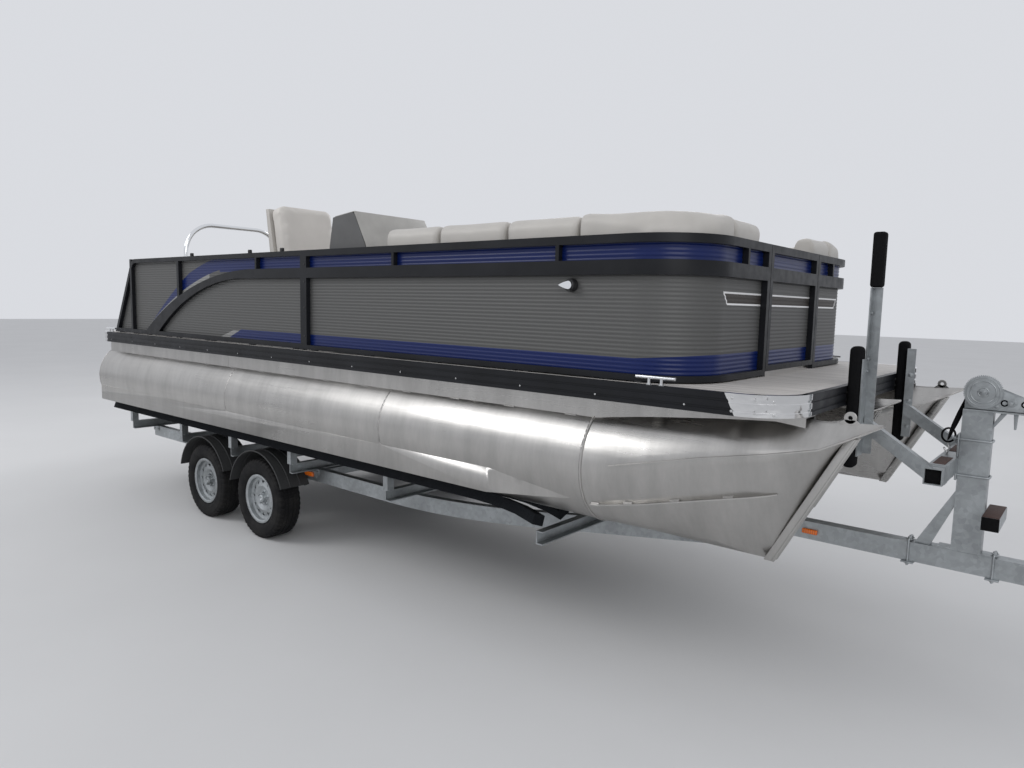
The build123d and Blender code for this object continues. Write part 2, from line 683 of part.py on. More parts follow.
stern_end = FENCE_HALF - FENCE_DEPTH - PANEL_T - SEAT_GAP
stern_x = (sx(STERN_FENCE), sx(STERN_FENCE) + FENCE_DEPTH)
stern_runs = ((-stern_end, STERN_GATE[0]), (STERN_GATE[1], stern_end))
with BuildPart() as stern_fence:
    for run in stern_runs:
        for z in ((FENCE_BOTTOM, FENCE_BOTTOM + BOTTOM_RAIL), MID_RAIL, (FENCE_TOP - TOP_RAIL, FENCE_TOP)):
            span_box(stern_x, run, z)
        for y in (run[0], run[1] - POST):
            span_box(stern_x, (y, y + POST), (DECK_TOP, FENCE_TOP))
    middle = (stern_runs[1][0] + stern_runs[1][1]) / 2
    span_box(stern_x, (middle - POST / 2, middle + POST / 2), (DECK_TOP, FENCE_TOP))
    add(hinge_post(STERN_HINGE))
save(stern_fence.part, "fence_stern")

with BuildPart() as stern_panel:
    for run in stern_runs:
        span_box((stern_x[1], stern_x[1] + PANEL_T), (run[0] + PANEL_INSET / 2, run[1] - PANEL_INSET),
                 (FENCE_BOTTOM + PANEL_INSET, FENCE_TOP - PANEL_INSET))
save(stern_panel.part, "panel_stern")


# Docking lights and cleats

LIGHT_STATIONS = (5704.0, 5812.0)
LIGHT_Z = DECK_TOP + 456.0
LIGHT_H = 60.0
LIGHT_OUT = 44.0
with BuildPart() as lights:
    for side in (-1, 1):
        face = side_plane(side * (FENCE_HALF - FENCE_DEPTH))
        with BuildSketch(face):
            with BuildLine():
                nose_x, tail_x = sx(LIGHT_STATIONS[1]), sx(LIGHT_STATIONS[0])
                arc_x = nose_x - LIGHT_H / 2
                top, low = (arc_x, LIGHT_Z + LIGHT_H / 2), (arc_x, LIGHT_Z - LIGHT_H / 2)
                ThreePointArc(top, (nose_x, LIGHT_Z), low)
                ThreePointArc(low, (tail_x + 25.0, LIGHT_Z - 14.0), (tail_x, LIGHT_Z))
                ThreePointArc((tail_x, LIGHT_Z), (tail_x + 25.0, LIGHT_Z + 14.0), top)
            make_face()
        extrude(amount=LIGHT_OUT if side < 0 else -LIGHT_OUT, taper=12.0)

CLEAT_STATIONS = (300.0, 6300.0)
CLEAT_L, CLEAT_H, CLEAT_R = 200.0, 42.0, 8.0
with BuildPart() as cleats:
    for side in (-1, 1):
        for station in CLEAT_STATIONS:
            x, y = sx(station), side * (DECK_WIDTH / 2 - 26.0)
            for foot in (-1, 1):
                with Locations((x + foot * 32.0, y, DECK_TOP + 3.0)):
                    Cylinder(14.0, 6.0)
                with Locations((x + foot * 32.0, y, DECK_TOP + CLEAT_H / 2 - 3.0)):
                    Cylinder(7.0, CLEAT_H - 6.0)
            with Locations((x, y, DECK_TOP + CLEAT_H - CLEAT_R)):
                Cylinder(CLEAT_R, CLEAT_L, rotation=(0, 90, 0))
with BuildPart() as fittings:
    add(lights.part)
    add(cleats.part)
save(fittings.part, "deck_fittings")


# Lounges

def lounge_band(depth, z):
    """A closed band along the fence's plan for bases and cushions; open aft."""
    with BuildPart() as band:
        fence_loop(z, depth)
    return band.part


def bow_lounge(side, name):
    seat_z = (DECK_TOP + BASE_H, DECK_TOP + BASE_H + CUSHION_T)
    x = (sx(LOUNGE_AFT), sx(FENCE_FORE - LOUNGE_OUT))
    leg = (x[1] - LOUNGE_LEG, x[1])

    def footprint(inset, z):
        with BuildSketch(Plane.XY.offset(z)) as plan:
            with Locations((sx(FENCE_FORE - LOUNGE_OUT - inset - 1500.0), 0)):
                RectangleRounded(3000.0, 2 * (FENCE_HALF - LOUNGE_OUT - inset), FENCE_R - LOUNGE_OUT - inset)
            with BuildSketch(mode=Mode.INTERSECT):
                Polygon((x[0] + inset, side * 2000.0), (x[0] + inset, side * (LOUNGE_SIDE_IN + inset)),
                        (leg[0] + inset, side * (LOUNGE_SIDE_IN + inset)),
                        (leg[0] + inset, side * (LOUNGE_FRONT_IN + inset)),
                        (leg[1], side * (LOUNGE_FRONT_IN + inset)), (leg[1], side * 2000.0), align=None)
        return plan.sketch

    with BuildPart() as base:
        extrude(footprint(12.0, DECK_TOP), amount=BASE_H - SEAT_GAP)
    with BuildPart() as seat:
        extrude(footprint(0.0, seat_z[0]), amount=CUSHION_T)
        span_box((sx(SEAT_SEAM), sx(SEAT_SEAM) + SEAM_GAP), side_span(side, 0.0, FENCE_HALF), seat_z,
                 mode=Mode.SUBTRACT)
        span_box((leg[0] - SEAM_GAP, leg[0]), side_span(side, 0.0, FENCE_HALF), seat_z, mode=Mode.SUBTRACT)
        back_depth = BACK_OUT + BACK_T
        add(lounge_band((BACK_OUT, back_depth + SEAT_GAP), (seat_z[0] - 1.0, seat_z[1] + 1.0)), mode=Mode.SUBTRACT)
    with BuildPart() as back:
        add(lounge_band((BACK_OUT, back_depth), (seat_z[0], DECK_TOP + BACK_TOP)))
        span_box((sx(LOUNGE_AFT) + 10.0, x[1] + 20.0), side_span(side, LOUNGE_FRONT_IN + 5.0, FENCE_HALF),
                 (seat_z[0], DECK_TOP + BACK_TOP), mode=Mode.INTERSECT)
        for station in BACK_SEAMS:
            span_box((sx(station), sx(station) + SEAM_GAP), side_span(side, FENCE_HALF - 300.0, FENCE_HALF),
                     (seat_z[0], DECK_TOP + BACK_TOP), mode=Mode.SUBTRACT)
        span_box((sx(FENCE_FORE - 300.0), sx(FENCE_FORE)), side_span(side, BACK_FRONT_SEAM, BACK_FRONT_SEAM + SEAM_GAP),
                 (seat_z[0], DECK_TOP + BACK_TOP), mode=Mode.SUBTRACT)
    with BuildPart() as cushions:
        add(seat.part)
        add(back.part)
    save(cushions.part, f"cushions_{name}")
    return base.part


starboard_base = bow_lounge(-1, "starboard")
port_base = bow_lounge(1, "port")

# Stern lounge: across the stern to port of its gate, with a leg forward along the port side
aft_x = sx(STERN_FENCE) + FENCE_DEPTH + PANEL_T
port_y = FENCE_HALF - FENCE_DEPTH - PANEL_T
GAP_BEHIND = 10.0
stern_seat_z = (DECK_TOP + BASE_H, DECK_TOP + BASE_H + CUSHION_T)


def stern_plan(inset, z):
    low_x, high_y = aft_x + GAP_BEHIND + inset, port_y - GAP_BEHIND - inset
    with BuildSketch(Plane.XY.offset(z)) as plan:
        Polygon((low_x, STERN_LOUNGE_STARBOARD + inset), (low_x, high_y), (sx(STERN_LOUNGE_FORE) - inset, high_y),
                (sx(STERN_LOUNGE_FORE) - inset, port_y - STERN_SEAT + inset),
                (aft_x + STERN_SEAT - inset, port_y - STERN_SEAT + inset),
                (aft_x + STERN_SEAT - inset, STERN_LOUNGE_STARBOARD + inset), align=None)
    return plan.sketch


with BuildPart() as stern_base:
    extrude(stern_plan(12.0, DECK_TOP), amount=BASE_H - SEAT_GAP)
with BuildPart() as lounge_bases:
    add(starboard_base)
    add(port_base)
    add(stern_base.part)
save(lounge_bases.part, "lounge_bases")

stern_back = GAP_BEHIND + BACK_T
with BuildPart() as stern_seats:
    extrude(stern_plan(0.0, stern_seat_z[0]), amount=CUSHION_T)
    span_box((aft_x, aft_x + stern_back + SEAT_GAP), (STERN_LOUNGE_STARBOARD - 10.0, port_y), stern_seat_z,
             mode=Mode.SUBTRACT)
    span_box((aft_x, sx(STERN_LOUNGE_FORE) + 10.0), (port_y - stern_back - SEAT_GAP, port_y), stern_seat_z,
             mode=Mode.SUBTRACT)
    corner = aft_x + STERN_SEAT
    span_box((corner, corner + SEAM_GAP), (port_y - STERN_SEAT - 10.0, port_y), stern_seat_z, mode=Mode.SUBTRACT)
with BuildPart() as stern_backs:
    back_z = (stern_seat_z[0], DECK_TOP + STERN_BACK_TOP)
    span_box((aft_x + GAP_BEHIND, aft_x + stern_back), (STERN_LOUNGE_STARBOARD, port_y - stern_back - SEAM_GAP), back_z)
    span_box((aft_x + GAP_BEHIND, sx(STERN_LOUNGE_FORE)), (port_y - stern_back, port_y - GAP_BEHIND), back_z)
    middle = aft_x + (STERN_LOUNGE_FORE - STERN_FENCE) / 2
    span_box((middle, middle + SEAM_GAP), (port_y - stern_back, port_y), back_z, mode=Mode.SUBTRACT)
with BuildPart() as stern_cushions:
    add(stern_seats.part)
    add(stern_backs.part)
save(stern_cushions.part, "cushions_stern")


# Helm console, steering wheel and captain's chair

console_x = (sx(CONSOLE_STATIONS[0]), sx(CONSOLE_STATIONS[1]))
with BuildPart() as console:
    with BuildSketch(side_plane(-CONSOLE_IN)):
        Polygon(
            (console_x[0] + 60.0, DECK_TOP), (console_x[0] + 60.0, DECK_TOP + 520.0),
            (console_x[0] - 10.0, DECK_TOP + 640.0), (console_x[0] + 45.0, DECK_TOP + 914.0),
            (console_x[0] + 265.0, DECK_TOP + CONSOLE_PEAK), (console_x[0] + 380.0, DECK_TOP + 731.0),
            (console_x[1], DECK_TOP + 650.0), (console_x[1], DECK_TOP), align=None,
        )
    extrude(amount=CONSOLE_OUT - CONSOLE_IN)
    fillet(console.edges().filter_by(Axis.Y).group_by(Axis.Z)[-1], 30.0)
wheel_origin = (sx(WHEEL_STATION), HELM_Y, DECK_TOP + WHEEL_LIFT)
wheel_axis = (cos(radians(WHEEL_TILT)), 0.0, -sin(radians(WHEEL_TILT)))
wheel_plane = Plane(origin=wheel_origin, x_dir=(0, 1, 0), z_dir=wheel_axis)
COLUMN_R = 16.0
COLUMN_FIT = 0.06
COLUMN_END = 150.0
BOSS = (98.0, 175.0)
BOSS_R = 36.0
with BuildPart() as console_with_boss:
    add(console.part)
    with BuildSketch(wheel_plane.offset(BOSS[0])):
        Circle(BOSS_R)
    extrude(amount=BOSS[1] - BOSS[0])
    with BuildSketch(wheel_plane.offset(BOSS[0] - 1.0)):
        Circle(COLUMN_R + COLUMN_FIT)
    extrude(amount=COLUMN_END + 4.0 - BOSS[0], mode=Mode.SUBTRACT)
save(console_with_boss.part, "helm_console")

with BuildPart() as steering_wheel:
    with BuildSketch(Plane(origin=wheel_origin, x_dir=(0, 1, 0), z_dir=wheel_plane.y_dir)):
        with Locations((WHEEL_RIM_R, 0)):
            Circle(WHEEL_GRIP_R)
    revolve(axis=Axis(wheel_origin, wheel_axis))
    with BuildSketch(wheel_plane.offset(4.0)):
        Circle(42.0)
        with PolarLocations(WHEEL_RIM_R / 2, 3, start_angle=90.0):
            Rectangle(WHEEL_RIM_R - 8.0, 26.0)
    extrude(amount=7.0)
    with BuildSketch(wheel_plane.offset(4.0)):
        Circle(COLUMN_R)
    extrude(amount=COLUMN_END - 4.0)
save(steering_wheel.part, "steering_wheel")

chair_x, chair_y = sx(CHAIR_STATION), CHAIR_Y
PEDESTAL_R = 38.0
SPIN_GAP = 0.3
SPIGOT_R = 18.0
SPIGOT_L = 38.0
with BuildPart() as pedestal:
    with BuildSketch(Plane.XY.offset(DECK_TOP)):
        with Locations((chair_x, chair_y)):
            Circle(170.0)
    extrude(amount=14.0)
    with BuildSketch(Plane.XY.offset(DECK_TOP)):
        with Locations((chair_x, chair_y)):
            Circle(PEDESTAL_R)
    extrude(amount=CHAIR_SEAT_LIFT - 160.0)
    with BuildSketch(Plane.XY.offset(DECK_TOP)):
        with Locations((chair_x, chair_y)):
            Circle(SPIGOT_R)
    extrude(amount=CHAIR_SEAT_LIFT - 160.0 + SPIGOT_L)
save(pedestal.part, "chair_pedestal")

half = CHAIR_W / 2
with BuildPart() as chair_shell:
    # seat pan and a curved back shell
    pan_z = DECK_TOP + CHAIR_SEAT_LIFT - 160.0 + SPIN_GAP
    span_box((chair_x - 150.0, chair_x + 150.0), (chair_y - 150.0, chair_y + 150.0), (pan_z, pan_z + 45.0))
    with BuildSketch(side_plane(chair_y)):
        Polygon(
            (chair_x + 270.0, pan_z + 45.0), (chair_x - 250.0, pan_z + 45.0), (chair_x - 330.0, pan_z + 260.0),
            (chair_x - 400.0, DECK_TOP + CHAIR_TOP - 40.0), (chair_x - 360.0, DECK_TOP + CHAIR_TOP - 40.0),
            (chair_x - 270.0, pan_z + 260.0), (chair_x - 210.0, pan_z + 85.0), (chair_x + 270.0, pan_z + 85.0),
            align=None,
        )
    extrude(amount=half, both=True)
    for side in (-1, 1):
        with BuildSketch(side_plane(chair_y + side * half + (28.0 if side > 0 else 0.0))):
            Polygon(
                (chair_x - 300.0, pan_z + 45.0), (chair_x + 120.0, pan_z + 45.0), (chair_x + 240.0, pan_z + 290.0),
                (chair_x + 230.0, pan_z + 330.0), (chair_x - 340.0, pan_z + 330.0), align=None,
            )
        extrude(amount=28.0)
    with BuildSketch(Plane.XY.offset(pan_z)):
        with Locations((chair_x, chair_y)):
            Circle(SPIGOT_R + COLUMN_FIT)
    extrude(amount=SPIGOT_L + 2.0, mode=Mode.SUBTRACT)
save(chair_shell.part, "chair_shell")

with BuildPart() as chair_cushions:
    inner = half - 2.0
    seat_z = pan_z + 85.0 + SPIN_GAP
    span_box((chair_x - 195.0, chair_x + 275.0), (chair_y - inner, chair_y + inner), (seat_z, seat_z + 115.0))
    with BuildSketch(side_plane(chair_y)):
        Polygon(
            (chair_x - 270.05, pan_z + 262.0), (chair_x - 361.6, DECK_TOP + CHAIR_TOP - 30.0),
            (chair_x - 230.0, DECK_TOP + CHAIR_TOP), (chair_x - 140.0, pan_z + 262.0), align=None,
        )
    extrude(amount=inner, both=True)
save(chair_cushions.part, "chair_cushions")


# Tow arch over the stern

with BuildPart() as arch:
    with BuildLine() as arch_line:
        FilletPolyline(
            (sx(ARCH_STATION), -ARCH_HALF, DECK_TOP + 8.0), (sx(ARCH_STATION), -ARCH_HALF, DECK_TOP + ARCH_TOP),
            (sx(ARCH_STATION), ARCH_HALF, DECK_TOP + ARCH_TOP), (sx(ARCH_STATION), ARCH_HALF, DECK_TOP + 8.0),
            radius=ARCH_CORNER,
        )
    with BuildSketch(Plane(origin=(sx(ARCH_STATION), -ARCH_HALF, DECK_TOP + 8.0), z_dir=(0, 0, 1))):
        Circle(ARCH_TUBE_R)
    sweep()
    for side in (-1, 1):
        with Locations((sx(ARCH_STATION), side * ARCH_HALF, DECK_TOP + 5.0)):
            Cylinder(60.0, 10.0)
save(arch.part, "tow_arch")


# Engine bracket: a pod behind the middle tube, its transom plate and the clamp with the tilt tube

TILT_TUBE_R = 14.0
PIN_GAP = 0.06
EAR_T = 20.0
EAR_OUT = 130.0
pod_z = (TUBE_AXIS_Z - TUBE_R + 30.0, TRANSOM_TOP - 50.0)
with BuildPart() as engine_pod:
    with BuildSketch(side_plane(0.0)):
        Polygon(
            (sx(TUBE_AFT), pod_z[0]), (sx(TUBE_AFT), pod_z[1]), (sx(TRANSOM), TRANSOM_TOP),
            (sx(TRANSOM), pod_z[0] + 180.0), (sx(TRANSOM) + 90.0, pod_z[0]), align=None,
        )
    extrude(amount=POD_HALF, both=True)
    chamfer(engine_pod.edges().filter_by(Axis.X).group_by(Axis.Z)[0], 90.0)
    for side in (-1, 1):
        with BuildSketch(side_plane(max(side * EAR_OUT, side * (EAR_OUT - EAR_T)))):
            Polygon(
                (sx(TRANSOM), PIVOT_Z - 330.0), (sx(TRANSOM), PIVOT_Z + 20.0), (sx(PIVOT_STATION) - 28.0, PIVOT_Z + 20.0),
                (sx(PIVOT_STATION) - 28.0, PIVOT_Z - 30.0), (sx(TRANSOM) - 25.0, PIVOT_Z - 330.0), align=None,
            )
        extrude(amount=EAR_T)
    with BuildSketch(side_plane(EAR_OUT)):
        with Locations((sx(PIVOT_STATION), PIVOT_Z)):
            Circle(TILT_TUBE_R)
    extrude(amount=2 * EAR_OUT)
save(engine_pod.part, "engine_pod")

KNUCKLE_R = 28.0
KNUCKLE_HALF = EAR_OUT - EAR_T - RUN_GAP
STEER_TUBE_R = 34.0
STEER_PIN_R = 17.0
STEER_TUBE_Z = (1135.0, 1470.0)
steer_x = sx(STEER_STATION)
with BuildPart() as swivel:
    with BuildSketch(side_plane(KNUCKLE_HALF)):
        with Locations((sx(PIVOT_STATION), PIVOT_Z)):
            Circle(KNUCKLE_R)
    extrude(amount=2 * KNUCKLE_HALF)
    with BuildSketch(Plane.XY.offset(STEER_TUBE_Z[0])):
        with Locations((steer_x, 0.0)):
            Circle(STEER_TUBE_R)
    extrude(amount=STEER_TUBE_Z[1] - STEER_TUBE_Z[0])
    with BuildSketch(side_plane(0.0)):
        Polygon(
            (steer_x, STEER_TUBE_Z[0] + 20.0), (steer_x, PIVOT_Z - 5.0), (sx(PIVOT_STATION), PIVOT_Z - 5.0),
            (sx(PIVOT_STATION) - 5.0, PIVOT_Z - 200.0), align=None,
        )
    extrude(amount=42.0, both=True)
    with BuildSketch(side_plane(KNUCKLE_HALF + 1.0)):
        with Locations((sx(PIVOT_STATION), PIVOT_Z)):
            Circle(TILT_TUBE_R + PIN_GAP)
    extrude(amount=2 * KNUCKLE_HALF + 2.0, mode=Mode.SUBTRACT)
    with BuildSketch(Plane.XY.offset(STEER_TUBE_Z[0] - 1.0)):
        with Locations((steer_x, 0.0)):
            Circle(STEER_PIN_R + PIN_GAP)
    extrude(amount=STEER_TUBE_Z[1] - STEER_TUBE_Z[0] + 2.0, mode=Mode.SUBTRACT)
save(swivel.part, "engine_swivel")

# Leg: steering pin and yokes, exhaust housing, plate, strut, gearcase, skeg and propeller shaft
LEG_FRONT = 50.0             # housing's front behind the steering axis
GEARCASE_R = 52.0
GEARCASE = (-620.0, -925.0)
SHAFT_R = 12.0
SHAFT_END = -1020.0
YOKE_T = 18.0
yoke_low = STEER_TUBE_Z[0] - 1.0 - YOKE_T
yoke_high = STEER_TUBE_Z[1] + 1.0
with BuildPart() as leg:
    with BuildSketch(Plane.XY.offset(yoke_low)):
        with Locations((steer_x, 0.0)):
            Circle(STEER_PIN_R)
    extrude(amount=yoke_high + YOKE_T - yoke_low)
    for z in (yoke_low, yoke_high):
        with BuildSketch(Plane.XY.offset(z)):
            with Locations((steer_x, 0.0)):
                Circle(30.0)
            with Locations((steer_x - 60.0, 0.0)):
                Rectangle(120.0, 60.0)
        extrude(amount=YOKE_T)
    housing = (
        (PLATE_Z, 215.0, 62.0), (PLATE_Z + 120.0, 175.0, 88.0), (yoke_high + YOKE_T, 190.0, 120.0),
    )
    for z, length, width in housing:
        with BuildSketch(Plane.XY.offset(z)):
            with Locations((steer_x - LEG_FRONT - length / 2, 0.0)):
                RectangleRounded(length, width, width / 2 - 2.0)
    loft(ruled=True)
    with BuildSketch(Plane.XY.offset(yoke_high + YOKE_T)):
        with Locations((steer_x - LEG_FRONT - 95.0, 0.0)):
            RectangleRounded(190.0, 120.0, 50.0)
    extrude(amount=COWL_BOTTOM - yoke_high - YOKE_T)
    with BuildSketch(Plane.XY.offset(PLATE_Z)):
        with Locations((steer_x - LEG_FRONT - 195.0, 0.0)):
            RectangleRounded(390.0, 210.0, 90.0)
    extrude(amount=8.0)
    with BuildSketch(Plane.XY.offset(PROP_Z)):
        with Locations((steer_x - LEG_FRONT - 110.0, 0.0)):
            Ellipse(110.0, 28.0)
    extrude(amount=PLATE_Z - PROP_Z)
    with BuildSketch(side_plane(0.0)):
        with BuildLine():
            nose_x, aft_end = sx(GEARCASE[0]), sx(GEARCASE[1])
            Line((nose_x, PROP_Z), (aft_end, PROP_Z))
            Line((aft_end, PROP_Z), (aft_end, PROP_Z + GEARCASE_R * 0.86))
            Line((aft_end, PROP_Z + GEARCASE_R * 0.86), (nose_x - 110.0, PROP_Z + GEARCASE_R))
            ThreePointArc((nose_x - 110.0, PROP_Z + GEARCASE_R), (nose_x - 32.0, PROP_Z + GEARCASE_R * 0.72),
                          (nose_x, PROP_Z))
        make_face()
    revolve(axis=Axis((0, 0, PROP_Z), (1, 0, 0)))
    with BuildSketch(side_plane(0.0)):
        Polygon((nose_x - 70.0, PROP_Z - 30.0), (aft_end + 25.0, PROP_Z - 30.0), (aft_end + 20.0, PROP_Z - 160.0),
                (aft_end + 70.0, PROP_Z - 168.0), align=None)
    extrude(amount=6.0, both=True)
    with BuildSketch(end_plane(sx(SHAFT_END))):
        with Locations((0.0, PROP_Z)):
            Circle(SHAFT_R)
    extrude(amount=aft_end - sx(SHAFT_END) + 1.0)
save(leg.part, "engine_leg")

cowl_sections = (
    # height, length, width, corner, centre's distance behind the steering axis
    (COWL_BOTTOM, 450.0, 280.0, 90.0, 170.0),
    (COWL_BOTTOM + 110.0, 540.0, 390.0, 130.0, 178.0),
    (COWL_BOTTOM + 320.0, 558.0, 2 * COWL_HALF, 150.0, 171.0),
    (COWL_TOP - 55.0, 500.0, 350.0, 140.0, 175.0),
    (COWL_TOP, 400.0, 250.0, 110.0, 180.0),
)
with BuildPart() as cowl:
    for z, length, width, corner, back in cowl_sections:
        with BuildSketch(Plane.XY.offset(z)):
            with Locations((steer_x - back, 0.0)):
                RectangleRounded(length, width, corner)
    loft(ruled=True)
save(cowl.part, "engine_cowl")

BLADES = 3
HUB_R = 44.0
HUB = (-931.0, -1028.0)
BLADE_PITCH = 28.0
with BuildPart() as propeller:
    with BuildSketch(end_plane(sx(HUB[1]))):
        with Locations((0.0, PROP_Z)):
            Circle(HUB_R)
    extrude(amount=sx(HUB[0]) - sx(HUB[1]))
    for index in range(BLADES):
        turn = 360.0 * index / BLADES
        out = Vector(0, sin(radians(turn)), cos(radians(turn)))
        across = Vector(cos(radians(BLADE_PITCH)), sin(radians(BLADE_PITCH)) * cos(radians(turn)),
                        -sin(radians(BLADE_PITCH)) * sin(radians(turn)))
        middle = (HUB_R + PROP_R) / 2
        face = Plane(origin=Vector(sx(PROP_STATION), 0, PROP_Z) + out * (middle - 6.0), x_dir=out,
                     z_dir=out.cross(across))
        with BuildSketch(face):
            Ellipse((PROP_R - HUB_R) / 2 + 5.0, 52.0)
        extrude(amount=3.0, both=True)
    with BuildSketch(end_plane(sx(SHAFT_END) - 0.5)):
        with Locations((0.0, PROP_Z)):
            Circle(SHAFT_R + PIN_GAP)
    extrude(amount=sx(HUB[0]) - sx(SHAFT_END) + 1.0, mode=Mode.SUBTRACT)
save(propeller.part, "propeller")


# Trailer frame: two channel rails curved in to the tongue, channels across them and bunk brackets

RAIL_TOP = RAIL_BOTTOM + RAIL_H
CROSS_TOP = RAIL_TOP + CROSS_H
GUSSET_T = 8.0
GUSSET_FORE = 6330.0
BRACKET_W = 60.0
BRACKET_L = 50.0
lean = asin(BUNK_OFFSET / TUBE_R)
bunk_gap = RING_PROUD + SEAT_GAP


def bunk_point(axis_y, side, along, deep):
    """A point of a bunk's section: along its width from the line that touches the tube, and below it."""
    out = (sin(lean) * side, -cos(lean))
    run = (cos(lean), side * sin(lean))
    y = axis_y + out[0] * (TUBE_R + bunk_gap + deep) + run[0] * along
    z = TUBE_AXIS_Z + out[1] * (TUBE_R + bunk_gap + deep) + run[1] * along
    return y, z


def bunk_section(x, axis_y, side, drop=0.0):
    half = BUNK_W / 2
    corners = [bunk_point(axis_y, side, along, deep)
               for along, deep in ((-half, 0.0), (half, 0.0), (half, BUNK_T), (-half, BUNK_T))]
    with BuildSketch(end_plane(x)) as section:
        Polygon(*[(y, z - drop) for y, z in corners], align=None)
    return section.sketch


bunk_lines = [(axis_y, side) for axis_y in (-TUBE_SPACING, 0.0, TUBE_SPACING) for side in (-1, 1)]
BUNK_CURVE = ((0.0, 0.0), (160.0, 6.0), (300.0, 24.0), (420.0, 56.0))
with BuildPart() as bunks:
    for axis_y, side in bunk_lines:
        curve_x = sx(BUNK_FORE) - BUNK_CURVE[-1][0]
        sections = [bunk_section(sx(BUNK_AFT), axis_y, side)]
        sections += [bunk_section(curve_x + ahead, axis_y, side, drop) for ahead, drop in BUNK_CURVE]
        for first, last in zip(sections, sections[1:]):
            loft([first, last], ruled=True)
save(bunks.part, "bunks")

with BuildPart() as trailer_frame:
    with BuildLine(Plane.XY.offset(RAIL_BOTTOM)):
        straight = Line((sx(RAIL_AFT), RAIL_OUT), (sx(RAIL_BEND), RAIL_OUT))
        bend = JernArc(start=straight @ 1, tangent=(1, 0), radius=RAIL_BEND_R, arc_size=-RAIL_BEND_ANGLE)
        run = (RAIL_FORE - RAIL_BEND - RAIL_BEND_R * sin(radians(RAIL_BEND_ANGLE))) / cos(radians(RAIL_BEND_ANGLE))
        PolarLine(bend @ 1, run, -RAIL_BEND_ANGLE)
    with BuildSketch(end_plane(sx(RAIL_AFT))):
        with BuildLine():
            y0, z0 = RAIL_OUT, RAIL_BOTTOM
            Polyline(
                (y0, z0), (y0, z0 + RAIL_H), (y0 - RAIL_W, z0 + RAIL_H), (y0 - RAIL_W, z0 + RAIL_H - RAIL_T),
                (y0 - RAIL_T, z0 + RAIL_H - RAIL_T), (y0 - RAIL_T, z0 + RAIL_T), (y0 - RAIL_W, z0 + RAIL_T),
                (y0 - RAIL_W, z0), (y0, z0),
            )
        make_face()
    sweep()
    mirror(about=Plane.XZ)
    for station in CROSS_STATIONS:
        aft = sx(station)
        with BuildSketch(side_plane(CROSS_HALF)):
            Polygon(
                (aft, RAIL_TOP), (aft + CROSS_W, RAIL_TOP), (aft + CROSS_W, RAIL_TOP + CROSS_T),
                (aft + CROSS_T, RAIL_TOP + CROSS_T), (aft + CROSS_T, CROSS_TOP - CROSS_T),
                (aft + CROSS_W, CROSS_TOP - CROSS_T), (aft + CROSS_W, CROSS_TOP), (aft, CROSS_TOP), align=None,
            )
        extrude(amount=2 * CROSS_HALF)
        for axis_y, side in bunk_lines:
            drop = 8.0 if station > BUNK_FORE - BUNK_CURVE[-1][0] else 0.0
            if station > BUNK_FORE - 100.0:
                continue
            low, high = -BRACKET_W / 2, BRACKET_W / 2
            left, right = bunk_point(axis_y, side, low, BUNK_T + SEAT_GAP), bunk_point(axis_y, side, high, BUNK_T + SEAT_GAP)
            with BuildSketch(end_plane(aft)):
                Polygon((left[0], CROSS_TOP - 1.0), (right[0], CROSS_TOP - 1.0), (right[0], right[1] - drop),
                        (left[0], left[1] - drop), align=None)
            extrude(amount=CROSS_W)
    with BuildSketch(Plane.XY.offset(RAIL_TOP)):
        Polygon((sx(TONGUE_AFT) - 40.0, -330.0), (sx(TONGUE_AFT) - 40.0, 330.0), (sx(GUSSET_FORE), 70.0),
                (sx(GUSSET_FORE), -70.0), align=None)
    extrude(amount=GUSSET_T)
save(trailer_frame.part, "trailer_frame")


# Tongue, coupler and jack

tongue_bottom = RAIL_TOP + GUSSET_T
tongue_top = tongue_bottom + TONGUE_H
COUPLER_L = 290.0
COUPLER_T = 7.0
SOCKET_R = 25.6
SOCKET_DEPTH = 40.0
NOSE_R = 46.0
tongue_fore = sx(FORE_REACH) - 130.0
with BuildPart() as tongue:
    half = TONGUE_W / 2
    span_box((sx(TONGUE_AFT), tongue_fore), (-half, half), (tongue_bottom, tongue_top))
    span_box((sx(TONGUE_AFT) - 1.0, tongue_fore + 1.0), (TONGUE_WALL - half, half - TONGUE_WALL),
             (tongue_bottom + TONGUE_WALL, tongue_top - TONGUE_WALL), mode=Mode.SUBTRACT)
    # jack's flange on the port side, with its pivot pin
    jack_x, jack_z = sx(JACK_STATION), (tongue_bottom + tongue_top) / 2
    FLANGE_R, FLANGE_T, JACK_PIN_R = 48.0, 14.0, 13.0
    with BuildSketch(side_plane(half + FLANGE_T)):
        with Locations((jack_x, jack_z)):
            Circle(FLANGE_R)
    extrude(amount=FLANGE_T)
    JACK_TUBE_R = 29.0
    jack_y = 110.0
    with BuildSketch(side_plane(half + 2 * FLANGE_T)):
        with Locations((jack_x, jack_z)):
            Circle(JACK_PIN_R)
    extrude(amount=2 * FLANGE_T)
save(tongue.part, "tongue")

